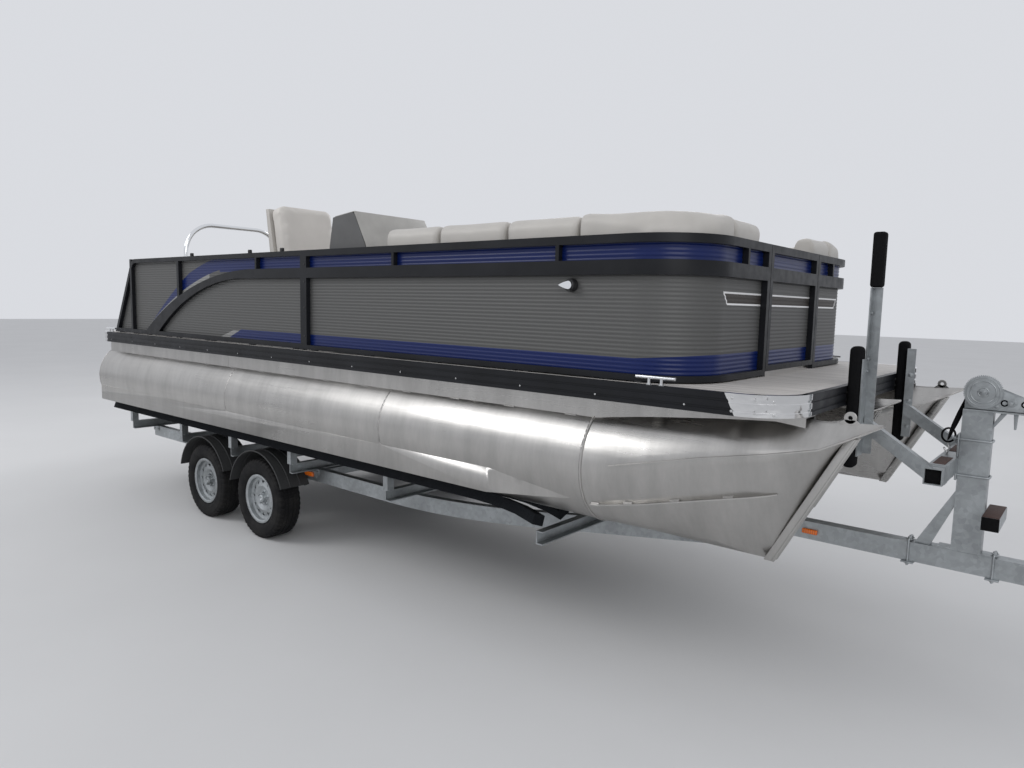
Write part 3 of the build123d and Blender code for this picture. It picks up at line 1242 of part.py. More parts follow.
with BuildPart() as coupler:
    aft, fore, high = sx(FORE_REACH) - COUPLER_L, sx(FORE_REACH), tongue_top + SEAT_GAP
    inner = half + SEAT_GAP
    ball_x = fore - NOSE_R
    span_box((aft, ball_x), (-inner - COUPLER_T, inner + COUPLER_T), (tongue_bottom, high + COUPLER_T))
    span_box((aft - 1.0, tongue_fore + 2.0), (-inner, inner), (tongue_bottom - 1.0, high), mode=Mode.SUBTRACT)
    with BuildSketch(Plane.XY.offset(tongue_bottom)):
        with Locations((ball_x, 0.0)):
            Circle(NOSE_R)
    extrude(amount=high + COUPLER_T - tongue_bottom)
    with BuildSketch(Plane.XY.offset(tongue_bottom)):
        with Locations((ball_x, 0.0)):
            Circle(SOCKET_R)
    extrude(amount=SOCKET_DEPTH, mode=Mode.SUBTRACT)
    # latch lever on top
    span_box((ball_x - 110.0, ball_x - 20.0), (-9.0, 9.0), (high + COUPLER_T - 1.0, high + COUPLER_T + 34.0))
save(coupler.part, "coupler")

JACK_TOP = 985.0
INNER_R = 23.0
FOOT_R = 60.0
with BuildPart() as jack:
    with BuildSketch(Plane.XY.offset(330.0)):
        with Locations((jack_x, jack_y)):
            Circle(JACK_TUBE_R)
    extrude(amount=JACK_TOP - 330.0)
    with BuildSketch(Plane.XY):
        with Locations((jack_x, jack_y)):
            Circle(INNER_R)
    extrude(amount=340.0)
    with BuildSketch(Plane.XY):
        with Locations((jack_x, jack_y)):
            Circle(FOOT_R)
    extrude(amount=8.0)
    with BuildSketch(side_plane(half + 2 * FLANGE_T + 1.0)):
        with Locations((jack_x, jack_z)):
            Circle(FLANGE_R)
    extrude(amount=FLANGE_T)
    span_box((jack_x - 20.0, jack_x + 20.0), (half + FLANGE_T + 1.0, jack_y), (jack_z - 30.0, jack_z + 30.0))
    with BuildSketch(side_plane(half + 2 * FLANGE_T + 10.0)):
        with Locations((jack_x, jack_z)):
            Circle(JACK_PIN_R + PIN_GAP)
    extrude(amount=2 * FLANGE_T + 10.0, mode=Mode.SUBTRACT)
    # top cap and crank
    with Locations((jack_x, jack_y, JACK_TOP + 8.0)):
        Cylinder(JACK_TUBE_R + 5.0, 18.0)
    with Locations((jack_x, jack_y, JACK_TOP + 26.0)):
        Cylinder(9.0, 24.0)
    span_box((jack_x - 9.0, jack_x + 9.0), (jack_y - 8.0, jack_y + 150.0), (JACK_TOP + 32.0, JACK_TOP + 40.0))
    with Locations((jack_x, jack_y + 142.0, JACK_TOP + 70.0)):
        Cylinder(12.0, 64.0)
save(jack.part, "jack")


# Axles: a square tube under the rails, a trailing arm and a spindle each side

AXLE_AHEAD = 130.0
AXLE_TUBE = 64.0
ARM_T = 24.0
ARM_R = 36.0
SPINDLE_R = 20.0
TYRE_MID = TYRE_OUT - TYRE_W / 2
HUB_BORE_END = TYRE_MID + 12.0
with BuildPart() as axles:
    for station in AXLE_STATIONS:
        tube_x, wheel_x = sx(station) + AXLE_AHEAD, sx(station)
        tube_z = RAIL_BOTTOM - AXLE_TUBE / 2
        span_box((tube_x - AXLE_TUBE / 2, tube_x + AXLE_TUBE / 2), (-RAIL_OUT - 4.0, RAIL_OUT + 4.0),
                 (RAIL_BOTTOM - AXLE_TUBE, RAIL_BOTTOM - SEAT_GAP))
        for side in (-1, 1):
            arm_y = side_span(side, RAIL_OUT + 3.0, RAIL_OUT + 3.0 + ARM_T)
            with BuildSketch(side_plane(arm_y[1])):
                with Locations((tube_x, tube_z)):
                    Circle(ARM_R)
                with Locations((wheel_x, TYRE_R)):
                    Circle(ARM_R)
                angle = atan2(tube_z - TYRE_R, AXLE_AHEAD)
                nx, nz = -sin(angle) * ARM_R, cos(angle) * ARM_R
                Polygon((tube_x + nx, tube_z + nz), (wheel_x + nx, TYRE_R + nz), (wheel_x - nx, TYRE_R - nz),
                        (tube_x - nx, tube_z - nz), align=None)
            extrude(amount=ARM_T)
            spindle = side_span(side, RAIL_OUT + 3.0 + ARM_T - 1.0, HUB_BORE_END - 2.0)
            with BuildSketch(side_plane(spindle[1])):
                with Locations((wheel_x, TYRE_R)):
                    Circle(SPINDLE_R)
            extrude(amount=spindle[1] - spindle[0])
save(axles.part, "axles")


# Fenders: a round shell over each wheel, with an inner wall, a rolled lip and its bracket

FENDER_IN = RAIL_OUT + 12.0
FENDER_OUT = TYRE_OUT + 18.0
WALL_W = 62.0
LIP = 9.0


def fender_arc(y, inner_r, outer_r, wheel_x):
    with BuildSketch(side_plane(y)) as arc:
        with Locations((wheel_x, TYRE_R)):
            Circle(outer_r)
            Circle(inner_r, mode=Mode.SUBTRACT)
        far = 2 * FENDER_R
        low, high = (radians(angle) for angle in FENDER_ENDS)
        with BuildSketch(mode=Mode.INTERSECT):
            Polygon((wheel_x, TYRE_R), (wheel_x + far * cos(low), TYRE_R + far * sin(low)),
                    (wheel_x + far, TYRE_R + far), (wheel_x - far, TYRE_R + far),
                    (wheel_x + far * cos(high), TYRE_R + far * sin(high)), align=None)
    return arc.sketch


with BuildPart() as fenders:
    for side in (-1, 1):
        for station in AXLE_STATIONS:
            wheel_x = sx(station)
            shell = side_span(side, FENDER_IN, FENDER_OUT)
            extrude(fender_arc(shell[1], FENDER_R, FENDER_R + FENDER_T, wheel_x), amount=shell[1] - shell[0])
            wall = side_span(side, FENDER_IN, FENDER_IN + FENDER_T)
            extrude(fender_arc(wall[1], FENDER_R - WALL_W, FENDER_R + FENDER_T, wheel_x), amount=FENDER_T)
            lip = side_span(side, FENDER_OUT - FENDER_T, FENDER_OUT)
            extrude(fender_arc(lip[1], FENDER_R, FENDER_R + LIP, wheel_x), amount=FENDER_T)
            span_box((wheel_x - 30.0, wheel_x + 30.0), side_span(side, RAIL_OUT + SEAT_GAP, FENDER_IN),
                     (RAIL_BOTTOM + 20.0, TYRE_R + FENDER_R - 10.0))
save(fenders.part, "fenders")


# Wheels

RIM_R = BEAD_R - SEAT_GAP
HUB_WHEEL_R = 58.0
VENTS = 12
VENT_R = 11.0
VENT_CIRCLE = 132.0
wheel_places = [(name, sx(station), side)
                for station, end in ((AXLE_STATIONS[1], "front"), (AXLE_STATIONS[0], "rear"))
                for side, name in ((-1, f"{end}_starboard"), (1, f"{end}_port"))]
for name, wheel_x, side in wheel_places:
    axis = Axis((wheel_x, 0, TYRE_R), (0, 1, 0))
    section = Plane(origin=(wheel_x, side * TYRE_MID, TYRE_R), x_dir=(0, side, 0), z_dir=(side, 0, 0))
    with BuildPart() as tyre:
        with BuildSketch(section):
            with BuildLine():
                crown, shoulder, bulge, bead = 78.0, 94.0, TYRE_W / 2, 74.0
                lip_r = RIM_LIP_R + 4.0
                Polyline((-bead, lip_r), (-bead, BEAD_R), (bead, BEAD_R), (bead, lip_r))
                ThreePointArc((bead, lip_r), (bulge, BEAD_R + 74.0), (shoulder, TYRE_R - 14.0))
                ThreePointArc((shoulder, TYRE_R - 14.0), (shoulder - 4.0, TYRE_R - 5.0), (crown, TYRE_R))
                Line((crown, TYRE_R), (-crown, TYRE_R))
                ThreePointArc((-crown, TYRE_R), (-shoulder + 4.0, TYRE_R - 5.0), (-shoulder, TYRE_R - 14.0))
                ThreePointArc((-shoulder, TYRE_R - 14.0), (-bulge, BEAD_R + 74.0), (-bead, lip_r))
            make_face()
        revolve(axis=axis)
    save(tyre.part, f"tyre_{name}")
    with BuildPart() as rim:
        with BuildSketch(section):
            with BuildLine():
                lip, out = RIM_LIP_R, 86.0
                Polyline(
                    (-out, lip), (-out, lip - 12.0), (-out + 6.0, RIM_R - 6.0), (42.0, RIM_R - 6.0), (36.0, 150.0),
                    (44.0, 100.0), (26.0, 70.0), (-30.0, 62.0), (-30.0, 0.0), (62.0, 0.0), (72.0, 16.0),
                    (66.0, 30.0), (38.0, 34.0), (38.0, 66.0), (52.0, 98.0), (44.0, 150.0), (52.0, RIM_R - 8.0),
                    (out - 6.0, RIM_R - 6.0), (out, lip - 12.0), (out, lip), (out - 8.0, lip), (76.0, RIM_R),
                    (-76.0, RIM_R), (-out + 8.0, lip), (-out, lip),
                )
            make_face()
        revolve(axis=axis)
        hole_plane = Plane(origin=(wheel_x, side * (TYRE_MID + 20.0), TYRE_R), x_dir=(1, 0, 0), z_dir=(0, side, 0))
        with BuildSketch(hole_plane):
            with PolarLocations(VENT_CIRCLE, VENTS):
                Circle(VENT_R)
        extrude(amount=60.0, mode=Mode.SUBTRACT)
        bore_plane = Plane(origin=(wheel_x, side * (TYRE_MID - 40.0), TYRE_R), x_dir=(1, 0, 0), z_dir=(0, side, 0))
        with BuildSketch(bore_plane):
            Circle(SPINDLE_R + PIN_GAP)
        extrude(amount=52.0, mode=Mode.SUBTRACT)
    save(rim.part, f"rim_{name}")


# Winch post, winch, bow stops and hand post

POST_HALF = 38.0
post_x = (sx(WINCH_POST[0]), sx(WINCH_POST[1]))
with BuildPart() as winch_post:
    span_box(post_x, (-POST_HALF, POST_HALF), (tongue_top + SEAT_GAP, WINCH_POST_TOP))
    span_box((post_x[0] - 60.0, post_x[1] + 60.0), (-POST_HALF, POST_HALF), (tongue_top + SEAT_GAP, tongue_top + 9.0))
    with BuildSketch(side_plane(0.0)):
        Polygon((post_x[0] - 165.0, tongue_top + SEAT_GAP), (post_x[0] - 95.0, tongue_top + SEAT_GAP),
                (post_x[0] + 1.0, tongue_top + 230.0), (post_x[0] + 1.0, tongue_top + 310.0), align=None)
    extrude(amount=25.0, both=True)
    # winch plate on top, reaching forward
    span_box((post_x[0] + 2.0, post_x[1] + 170.0), (-POST_HALF - 12.0, POST_HALF + 12.0),
             (WINCH_POST_TOP, WINCH_POST_TOP + 8.0))
    # step ahead of the post
    span_box((post_x[1] - 1.0, post_x[1] + 75.0), (-150.0, 150.0), (tongue_top + 160.0, tongue_top + 225.0))
save(winch_post.part, "winch_post")

CROSS_TUBE = 80.0
cross_z = (1112.0, 1112.0 + CROSS_TUBE)
cross_x = (post_x[0] - SEAT_GAP - CROSS_TUBE, post_x[0] - SEAT_GAP)
CROSS_TUBE_HALF = 450.0
CROSS_TUBE_T = 6.0
hook_x, hook_z = post_x[0] - 60.0, 1236.0
WINCH_GEAR_R = 84.0
WINCH_TEETH = 36
DRUM_R = 66.0
STRAP_T = 6.0
gear_x, gear_z = post_x[0] + 80.0, WINCH_POST_TOP + 96.0
with BuildPart() as winch:
    base = WINCH_POST_TOP + 8.0 + SEAT_GAP
    for y in (-42.0, 38.0):
        with BuildSketch(side_plane(y + 4.0)):
            Polygon((post_x[0] + 6.0, base), (post_x[1] + 150.0, base), (post_x[1] + 150.0, base + 30.0),
                    (gear_x + 60.0, gear_z + 14.0), (gear_x - 20.0, gear_z + 14.0), (post_x[0] + 6.0, base + 60.0),
                    align=None)
        extrude(amount=4.0)
    span_box((post_x[0] + 6.0, post_x[1] + 150.0), (-42.0, 42.0), (base, base + 4.0))
    with BuildSketch(side_plane(-44.0)):
        with Locations((gear_x, gear_z)):
            Circle(WINCH_GEAR_R - 6.0)
            with PolarLocations(WINCH_GEAR_R - 4.0, WINCH_TEETH):
                Rectangle(8.0, 6.5)
    extrude(amount=5.0)
    with BuildSketch(side_plane(46.0)):
        with Locations((gear_x, gear_z)):
            Circle(11.0)
    extrude(amount=91.0)
    with BuildSketch(side_plane(34.0)):
        with Locations((gear_x, gear_z)):
            Circle(DRUM_R)
    extrude(amount=68.0)
    # pinion and its shaft
    with BuildSketch(side_plane(48.0)):
        with Locations((post_x[1] + 70.0, base + 46.0)):
            Circle(9.0)
    extrude(amount=150.0)
    # strap from the drum down to its hook on the cross tube
    with BuildSketch(side_plane(25.0)):
        Polygon((gear_x - DRUM_R, gear_z), (gear_x - DRUM_R + STRAP_T, gear_z - 10.0), (hook_x + STRAP_T, hook_z),
                (hook_x, hook_z), align=None)
    extrude(amount=50.0)
    with BuildSketch(Plane.XY.offset(cross_z[1] + SEAT_GAP)):
        with Locations((hook_x + STRAP_T / 2, 0.0)):
            Rectangle(14.0, 50.0)
    extrude(amount=hook_z + 8.0 - cross_z[1] - SEAT_GAP)
save(winch.part, "winch")

STOP_Z = (1150.0, 1740.0)
PAD_T = 60.0
PAD_W = 78.0
POST_W = 50.0
stop_x = sx(DECK_LENGTH) + SEAT_GAP
post_aft = stop_x + PAD_T + SEAT_GAP
ARM_OUT = CROSS_TUBE_HALF
STOP_POST = (430.0, 480.0)
STOP_POST_Z = ((-1, 1216.0, 2020.0), (1, 1190.0, 1700.0))
with BuildPart() as stop_frame:
    tube_span = (-CROSS_TUBE_HALF, CROSS_TUBE_HALF)
    span_box(cross_x, tube_span, cross_z)
    for side, low, high in STOP_POST_Z:
        # an arm up and back to the stop's post, the post as a bent plate, and the plate behind the pad
        arm = side_span(side, ARM_OUT - POST_W, ARM_OUT)
        with BuildSketch(side_plane(arm[1])):
            Polygon((cross_x[0] + 10.0, cross_z[0] + 20.0), (cross_x[0] + 50.0, cross_z[1] - 10.0),
                    (post_aft + 8.0, 1395.0), (post_aft + 8.0, 1325.0), align=None)
        extrude(amount=POST_W)
        y = side_span(side, *STOP_POST)
        span_box((post_aft, post_aft + 6.0), y, (low, high))
        span_box((post_aft, post_aft + 45.0), side_span(side, STOP_POST[0], STOP_POST[0] + 6.0), (low, high))
        span_box((post_aft, post_aft + 6.0), side_span(side, STOP_POST[0], STOP_Y + 30.0),
                 (STOP_Z[0] + 60.0, STOP_Z[1] - 60.0))
    span_box((cross_x[0] + CROSS_TUBE_T, cross_x[1] - CROSS_TUBE_T),
             (tube_span[0] - 1.0, tube_span[1] + 1.0), (cross_z[0] + CROSS_TUBE_T, cross_z[1] - CROSS_TUBE_T),
             mode=Mode.SUBTRACT)
save(stop_frame.part, "bow_stop_frame")

with BuildPart() as pads:
    for side, low, high in STOP_POST_Z:
        with BuildSketch(Plane.XY.offset(STOP_Z[0])):
            with Locations((stop_x + PAD_T / 2, side * STOP_Y)):
                RectangleRounded(PAD_T, PAD_W, 18.0)
        extrude(amount=STOP_Z[1] - STOP_Z[0])
    # padded sleeve over the tall post's top
    with BuildSketch(Plane.XY.offset(STOP_POST_Z[0][2] + SEAT_GAP)):
        with Locations((post_aft + 22.0, -(STOP_POST[0] + STOP_POST[1]) / 2)):
            RectangleRounded(56.0, 58.0, 12.0)
    extrude(amount=260.0)
save(pads.part, "bow_stop_pads")
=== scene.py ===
"""Finishes for a pontoon boat on its trailer: surfaces, upholstery, fittings and the stage."""
import json
import math

import bpy
from mathutils import Matrix, Vector


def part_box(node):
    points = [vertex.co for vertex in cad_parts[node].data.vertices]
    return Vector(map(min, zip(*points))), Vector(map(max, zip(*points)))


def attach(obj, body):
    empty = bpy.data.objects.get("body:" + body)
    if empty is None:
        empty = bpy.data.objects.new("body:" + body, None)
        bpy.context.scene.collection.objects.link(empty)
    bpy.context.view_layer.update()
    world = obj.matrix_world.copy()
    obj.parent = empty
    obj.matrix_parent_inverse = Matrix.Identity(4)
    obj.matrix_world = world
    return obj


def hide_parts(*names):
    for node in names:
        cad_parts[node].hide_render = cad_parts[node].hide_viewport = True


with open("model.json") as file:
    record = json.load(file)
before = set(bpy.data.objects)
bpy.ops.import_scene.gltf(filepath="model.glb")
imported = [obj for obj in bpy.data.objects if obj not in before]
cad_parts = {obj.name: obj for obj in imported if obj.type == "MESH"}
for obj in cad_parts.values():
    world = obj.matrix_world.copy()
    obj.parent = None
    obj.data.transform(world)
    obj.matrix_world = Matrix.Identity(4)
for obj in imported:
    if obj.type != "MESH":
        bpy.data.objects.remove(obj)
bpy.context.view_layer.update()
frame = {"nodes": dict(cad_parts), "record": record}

bl_info = {
    "name": "Pontoon boat finishes",
    "version": (1, 0, 0),
    "blender": (4, 5, 0),
    "location": "View3D > Sidebar > Boat",
    "description": "Surfaces, upholstery and fittings for a pontoon boat on its trailer",
    "category": "Object",
}

HULL = "hull_and_trailer"
DECK_AFT = -3.835            # X of the deck's aft edge
DECK_TOP = 1.549


def sx(station):
    """X of a station, in metres ahead of the deck's aft edge."""
    return DECK_AFT + station


# Sizes and colours that a user may change

def colour_property(name, description, default):
    return bpy.props.FloatVectorProperty(
        name=name, description=description, default=default, size=3, min=0.0, max=1.0, subtype="COLOR")


def length_property(name, description, default):
    return bpy.props.FloatProperty(
        name=name, description=description, default=default, min=0.0, unit="LENGTH", subtype="DISTANCE")


class BoatFinishSettings(bpy.types.PropertyGroup):
    """Colours of the boat and its trailer."""
    sheet_grey: colour_property("Sheet", "Metallic paint of the fence sheets", (0.098, 0.098, 0.096))
    band_blue: colour_property("Band", "Gloss blue of the bands and windows", (0.002, 0.011, 0.085))
    rail_black: colour_property("Rails", "Satin black of rails and posts", (0.006, 0.0065, 0.008))
    seat_outer: colour_property("Seat outside", "Vinyl on backs and seats", (0.46, 0.44, 0.41))
    chair_cream: colour_property("Chair", "Vinyl of the captain's chair", (0.60, 0.57, 0.53))
    tube_silver: colour_property("Tubes", "Bare metal of the tubes", (0.47, 0.46, 0.445))
    zinc_grey: colour_property("Trailer", "Galvanised steel", (0.36, 0.38, 0.39))
    deck_grey: colour_property("Deck", "Plank vinyl on the deck", (0.44, 0.42, 0.40))


class BoatStageSettings(bpy.types.PropertyGroup):
    """Size and colour of the floor."""
    floor_size: length_property("Floor", "Edge of the square floor", 120.0)
    floor_colour: colour_property("Floor colour", "Pale floor", (0.62, 0.62, 0.62))


# Small tools for modelling by hand

FACE_OUT = (bpy.ops.mesh.normals_make_consistent, {"inside": False})

def clear_selection():
    if bpy.context.object and bpy.context.object.mode != "OBJECT":
        bpy.ops.object.mode_set(mode="OBJECT")
    bpy.ops.object.select_all(action="DESELECT")


def select_only(*objects):
    clear_selection()
    for item in objects:
        item.select_set(True)
    bpy.context.view_layer.objects.active = objects[0]


def settle(name):
    """Names the new primitive and moves its place into its mesh."""
    item = bpy.context.object
    item.name = item.data.name = name
    bpy.ops.object.transform_apply(location=True, rotation=True, scale=True)
    return item


def modify(item, kind, **settings):
    """Adds a modifier and applies it."""
    select_only(item)
    modifier = item.modifiers.new(kind.title(), kind)
    for key, value in settings.items():
        setattr(modifier, key, value)
    bpy.ops.object.modifier_apply(modifier=modifier.name)
    return item


def block(name, x, y, z, bevel=0.003, segments=2):
    """A box over three (low, high) spans with eased edges."""
    clear_selection()
    centre = [(low + high) / 2 for low, high in (x, y, z)]
    bpy.ops.mesh.primitive_cube_add(size=1, location=centre, scale=[high - low for low, high in (x, y, z)])
    item = settle(name)
    if bevel:
        modify(item, "BEVEL", width=bevel, segments=segments, limit_method="ANGLE")
    return item


def rod(name, start, end, radius, sides=16, bevel=0.0, radius_end=None):
    """A round bar between two points."""
    clear_selection()
    start, end = Vector(start), Vector(end)
    turn = (end - start).to_track_quat("Z", "Y").to_euler()
    bpy.ops.mesh.primitive_cone_add(vertices=sides, radius1=radius, depth=(end - start).length,
                                    radius2=radius if radius_end is None else radius_end,
                                    location=(start + end) / 2, rotation=turn)
    item = settle(name)
    if bevel:
        modify(item, "BEVEL", width=bevel, segments=2, limit_method="ANGLE", angle_limit=math.radians(40))
    return item


def pin(name, x, y, z, radius, sides, bevel):
    """A round bar across the boat, over the span y."""
    return rod(name, (x, y[0], z), (x, y[1], z), radius, sides, bevel)


def on_side(side, *reach):
    """A span across the boat, on one side of its centreline."""
    return sorted(side * y for y in reach)


def hexagon_bolt(name, centre, axis, across=0.019, height=0.008):
    """A bolt head with its washer, standing along axis."""
    centre, axis = Vector(centre), Vector(axis).normalized()
    head = rod(name, centre, centre + axis * height, across / 2 * 1.155, 6, bevel=0.0012)
    washer = rod(name + "_washer", centre, centre + axis * height * 0.2, across * 0.85, 20, bevel=0.0006)
    return join(name, head, washer)


def in_edit_mode(item, *steps):
    """Runs steps, each an operator and its settings, on the whole of a mesh."""
    select_only(item)
    bpy.ops.object.mode_set(mode="EDIT")
    bpy.ops.mesh.select_all(action="SELECT")
    for operator, settings in steps:
        operator(**settings)
    bpy.ops.object.mode_set(mode="OBJECT")
    return item


def join(name, *parts):
    select_only(*parts)
    if len(parts) > 1:
        bpy.ops.object.join()
    item = bpy.context.object
    item.name = item.data.name = name
    return item


def mirrored_copy(item):
    """A copy with its own mesh, mirrored across the centreline."""
    twin = item.copy()
    twin.data = item.data.copy()
    bpy.context.collection.objects.link(twin)
    twin.data.transform(Matrix.Scale(-1, 4, (0, 1, 0)))
    return in_edit_mode(twin, FACE_OUT)


def bent_tube(name, points, radius, sides=6, cyclic=False):
    """A round tube along a smooth line through control points."""
    clear_selection()
    curve = bpy.data.curves.new(name, "CURVE")
    curve.dimensions = "3D"
    curve.bevel_depth = radius
    curve.bevel_resolution = sides
    curve.use_fill_caps = True
    line = curve.splines.new("NURBS")
    line.points.add(len(points) - 1)
    for point, place in zip(line.points, points):
        point.co = (*place, 1.0)
    line.use_endpoint_u = not cyclic
    line.use_cyclic_u = cyclic
    line.order_u = 3
    line.resolution_u = 8
    item = bpy.data.objects.new(name, curve)
    bpy.context.collection.objects.link(item)
    select_only(item)
    bpy.ops.object.convert(target="MESH")
    return settle(name)


def place(item, body, slot, finish=None, smooth=35.0, node=None):
    """Shades a finished piece, gives it its finish, lets it ride on its body and stand for a solid.

    The finish is the slot's own unless another is named."""
    select_only(item)
    bpy.ops.object.shade_smooth_by_angle(angle=math.radians(smooth))
    item.data.materials.clear()
    item.data.materials.append(finishes[finish or slot].material)
    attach(item, body)
    if node:
        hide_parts(node)
    return item


# Finishes

finishes = {}                # by slot


class Finish:
    """One material and the nodes that feed its shader."""

    def __init__(self, name, colour=(0.5, 0.5, 0.5), metallic=0.0, roughness=0.5, **sockets):
        self.material = bpy.data.materials.new(name)
        self.material.use_nodes = True
        self.tree = self.material.node_tree
        self.shader = self.tree.nodes["Principled BSDF"]
        self.shader.inputs["Base Color"].default_value = (*colour, 1.0)
        self.shader.inputs["Metallic"].default_value = metallic
        self.shader.inputs["Roughness"].default_value = roughness
        for key, value in sockets.items():
            self.shader.inputs[key.replace("_", " ")].default_value = value
        self.material.diffuse_color = (*colour, 1.0)
        self.coords = None
        finishes[name] = self

    def node(self, kind, **settings):
        item = self.tree.nodes.new(kind)
        for key, value in settings.items():
            setattr(item, key, value)
        return item

    def link(self, source, target):
        self.tree.links.new(source, target)

    def object_frame(self):
        if self.coords is None:
            self.coords = self.node("ShaderNodeTexCoord")
        return self.coords.outputs["Object"]

    def stretched(self, scale):
        """Object coordinates, scaled along each axis."""
        source = self.object_frame()
        mapping = self.node("ShaderNodeMapping")
        mapping.inputs["Scale"].default_value = scale
        self.link(source, mapping.inputs["Vector"])
        return mapping.outputs["Vector"]

    def noise(self, scale, detail=4.0, stretch=(1, 1, 1), rough=0.55, distortion=0.0):
        item = self.node("ShaderNodeTexNoise")
        item.inputs["Scale"].default_value = scale
        item.inputs["Detail"].default_value = detail
        item.inputs["Roughness"].default_value = rough
        item.inputs["Distortion"].default_value = distortion
        self.link(self.stretched(stretch), item.inputs["Vector"])
        return item.outputs["Fac"]

    def cells(self, scale, stretch=(1, 1, 1), feature="F1", output="Color"):
        item = self.node("ShaderNodeTexVoronoi", feature=feature)
        item.inputs["Scale"].default_value = scale
        self.link(self.stretched(stretch), item.inputs["Vector"])
        return item.outputs[output]

    def ramp(self, source, stops):
        """A colour ramp over (position, colour or grey) stops."""
        item = self.node("ShaderNodeValToRGB")
        ramp = item.color_ramp
        while len(ramp.elements) < len(stops):
            ramp.elements.new(0.5)
        for element, (position, value) in zip(ramp.elements, stops):
            element.position = position
            element.color = (*((value,) * 3 if isinstance(value, float) else value), 1.0)
        self.link(source, item.inputs["Fac"])
        return item.outputs["Color"]

    def math(self, operation, first, second=None, third=None):
        item = self.node("ShaderNodeMath", operation=operation)
        for socket, value in zip(item.inputs, (first, second, third)):
            if value is None:
                continue
            if isinstance(value, (int, float)):
                socket.default_value = value
            else:
                self.link(value, socket)
        return item.outputs[0]

    def span(self, source, low, high, value_low=0.0, value_high=1.0):
        item = self.node("ShaderNodeMapRange")
        for socket, value in zip(
                ("From Min", "From Max", "To Min", "To Max"), (low, high, value_low, value_high)):
            item.inputs[socket].default_value = value
        self.link(source, item.inputs["Value"])
        return item.outputs["Result"]

    def mix(self, factor, first, second, blend="MIX"):
        item = self.node("ShaderNodeMix", data_type="RGBA", blend_type=blend)
        for socket, value in ((item.inputs[0], factor), (item.inputs[6], first), (item.inputs[7], second)):
            if isinstance(value, (int, float)):
                socket.default_value = value
            elif isinstance(value, tuple):
                socket.default_value = (*value, 1.0)
            else:
                self.link(value, socket)
        return item.outputs[2]

    def axes(self):
        """X, Y and Z of the surface in the object's own frame."""
        split = self.node("ShaderNodeSeparateXYZ")
        self.link(self.object_frame(), split.inputs["Vector"])
        return split.outputs

    def feed(self, socket, source):
        self.link(source, self.shader.inputs[socket])

    def mottle(self, source, low, high, first, second):
        """Base colour between two tones, by a pattern."""
        self.feed("Base Color", self.mix(self.span(source, low, high), first, second))

    def wander(self, source, low, high):
        """Roughness between two values, by a pattern."""
        self.feed("Roughness", self.span(source, 0.3, 0.7, low, high))

    def bump(self, source, strength=0.3, distance=0.001):
        item = self.node("ShaderNodeBump")
        item.inputs["Strength"].default_value = strength
        item.inputs["Distance"].default_value = distance
        self.link(source, item.inputs["Height"])
        previous = self.shader.inputs["Normal"].links
        if previous:
            self.link(previous[0].from_socket, item.inputs["Normal"])
        self.link(item.outputs["Normal"], self.shader.inputs["Normal"])


def scaled(colour, factor):
    return tuple(min(1.0, channel * factor) for channel in colour)


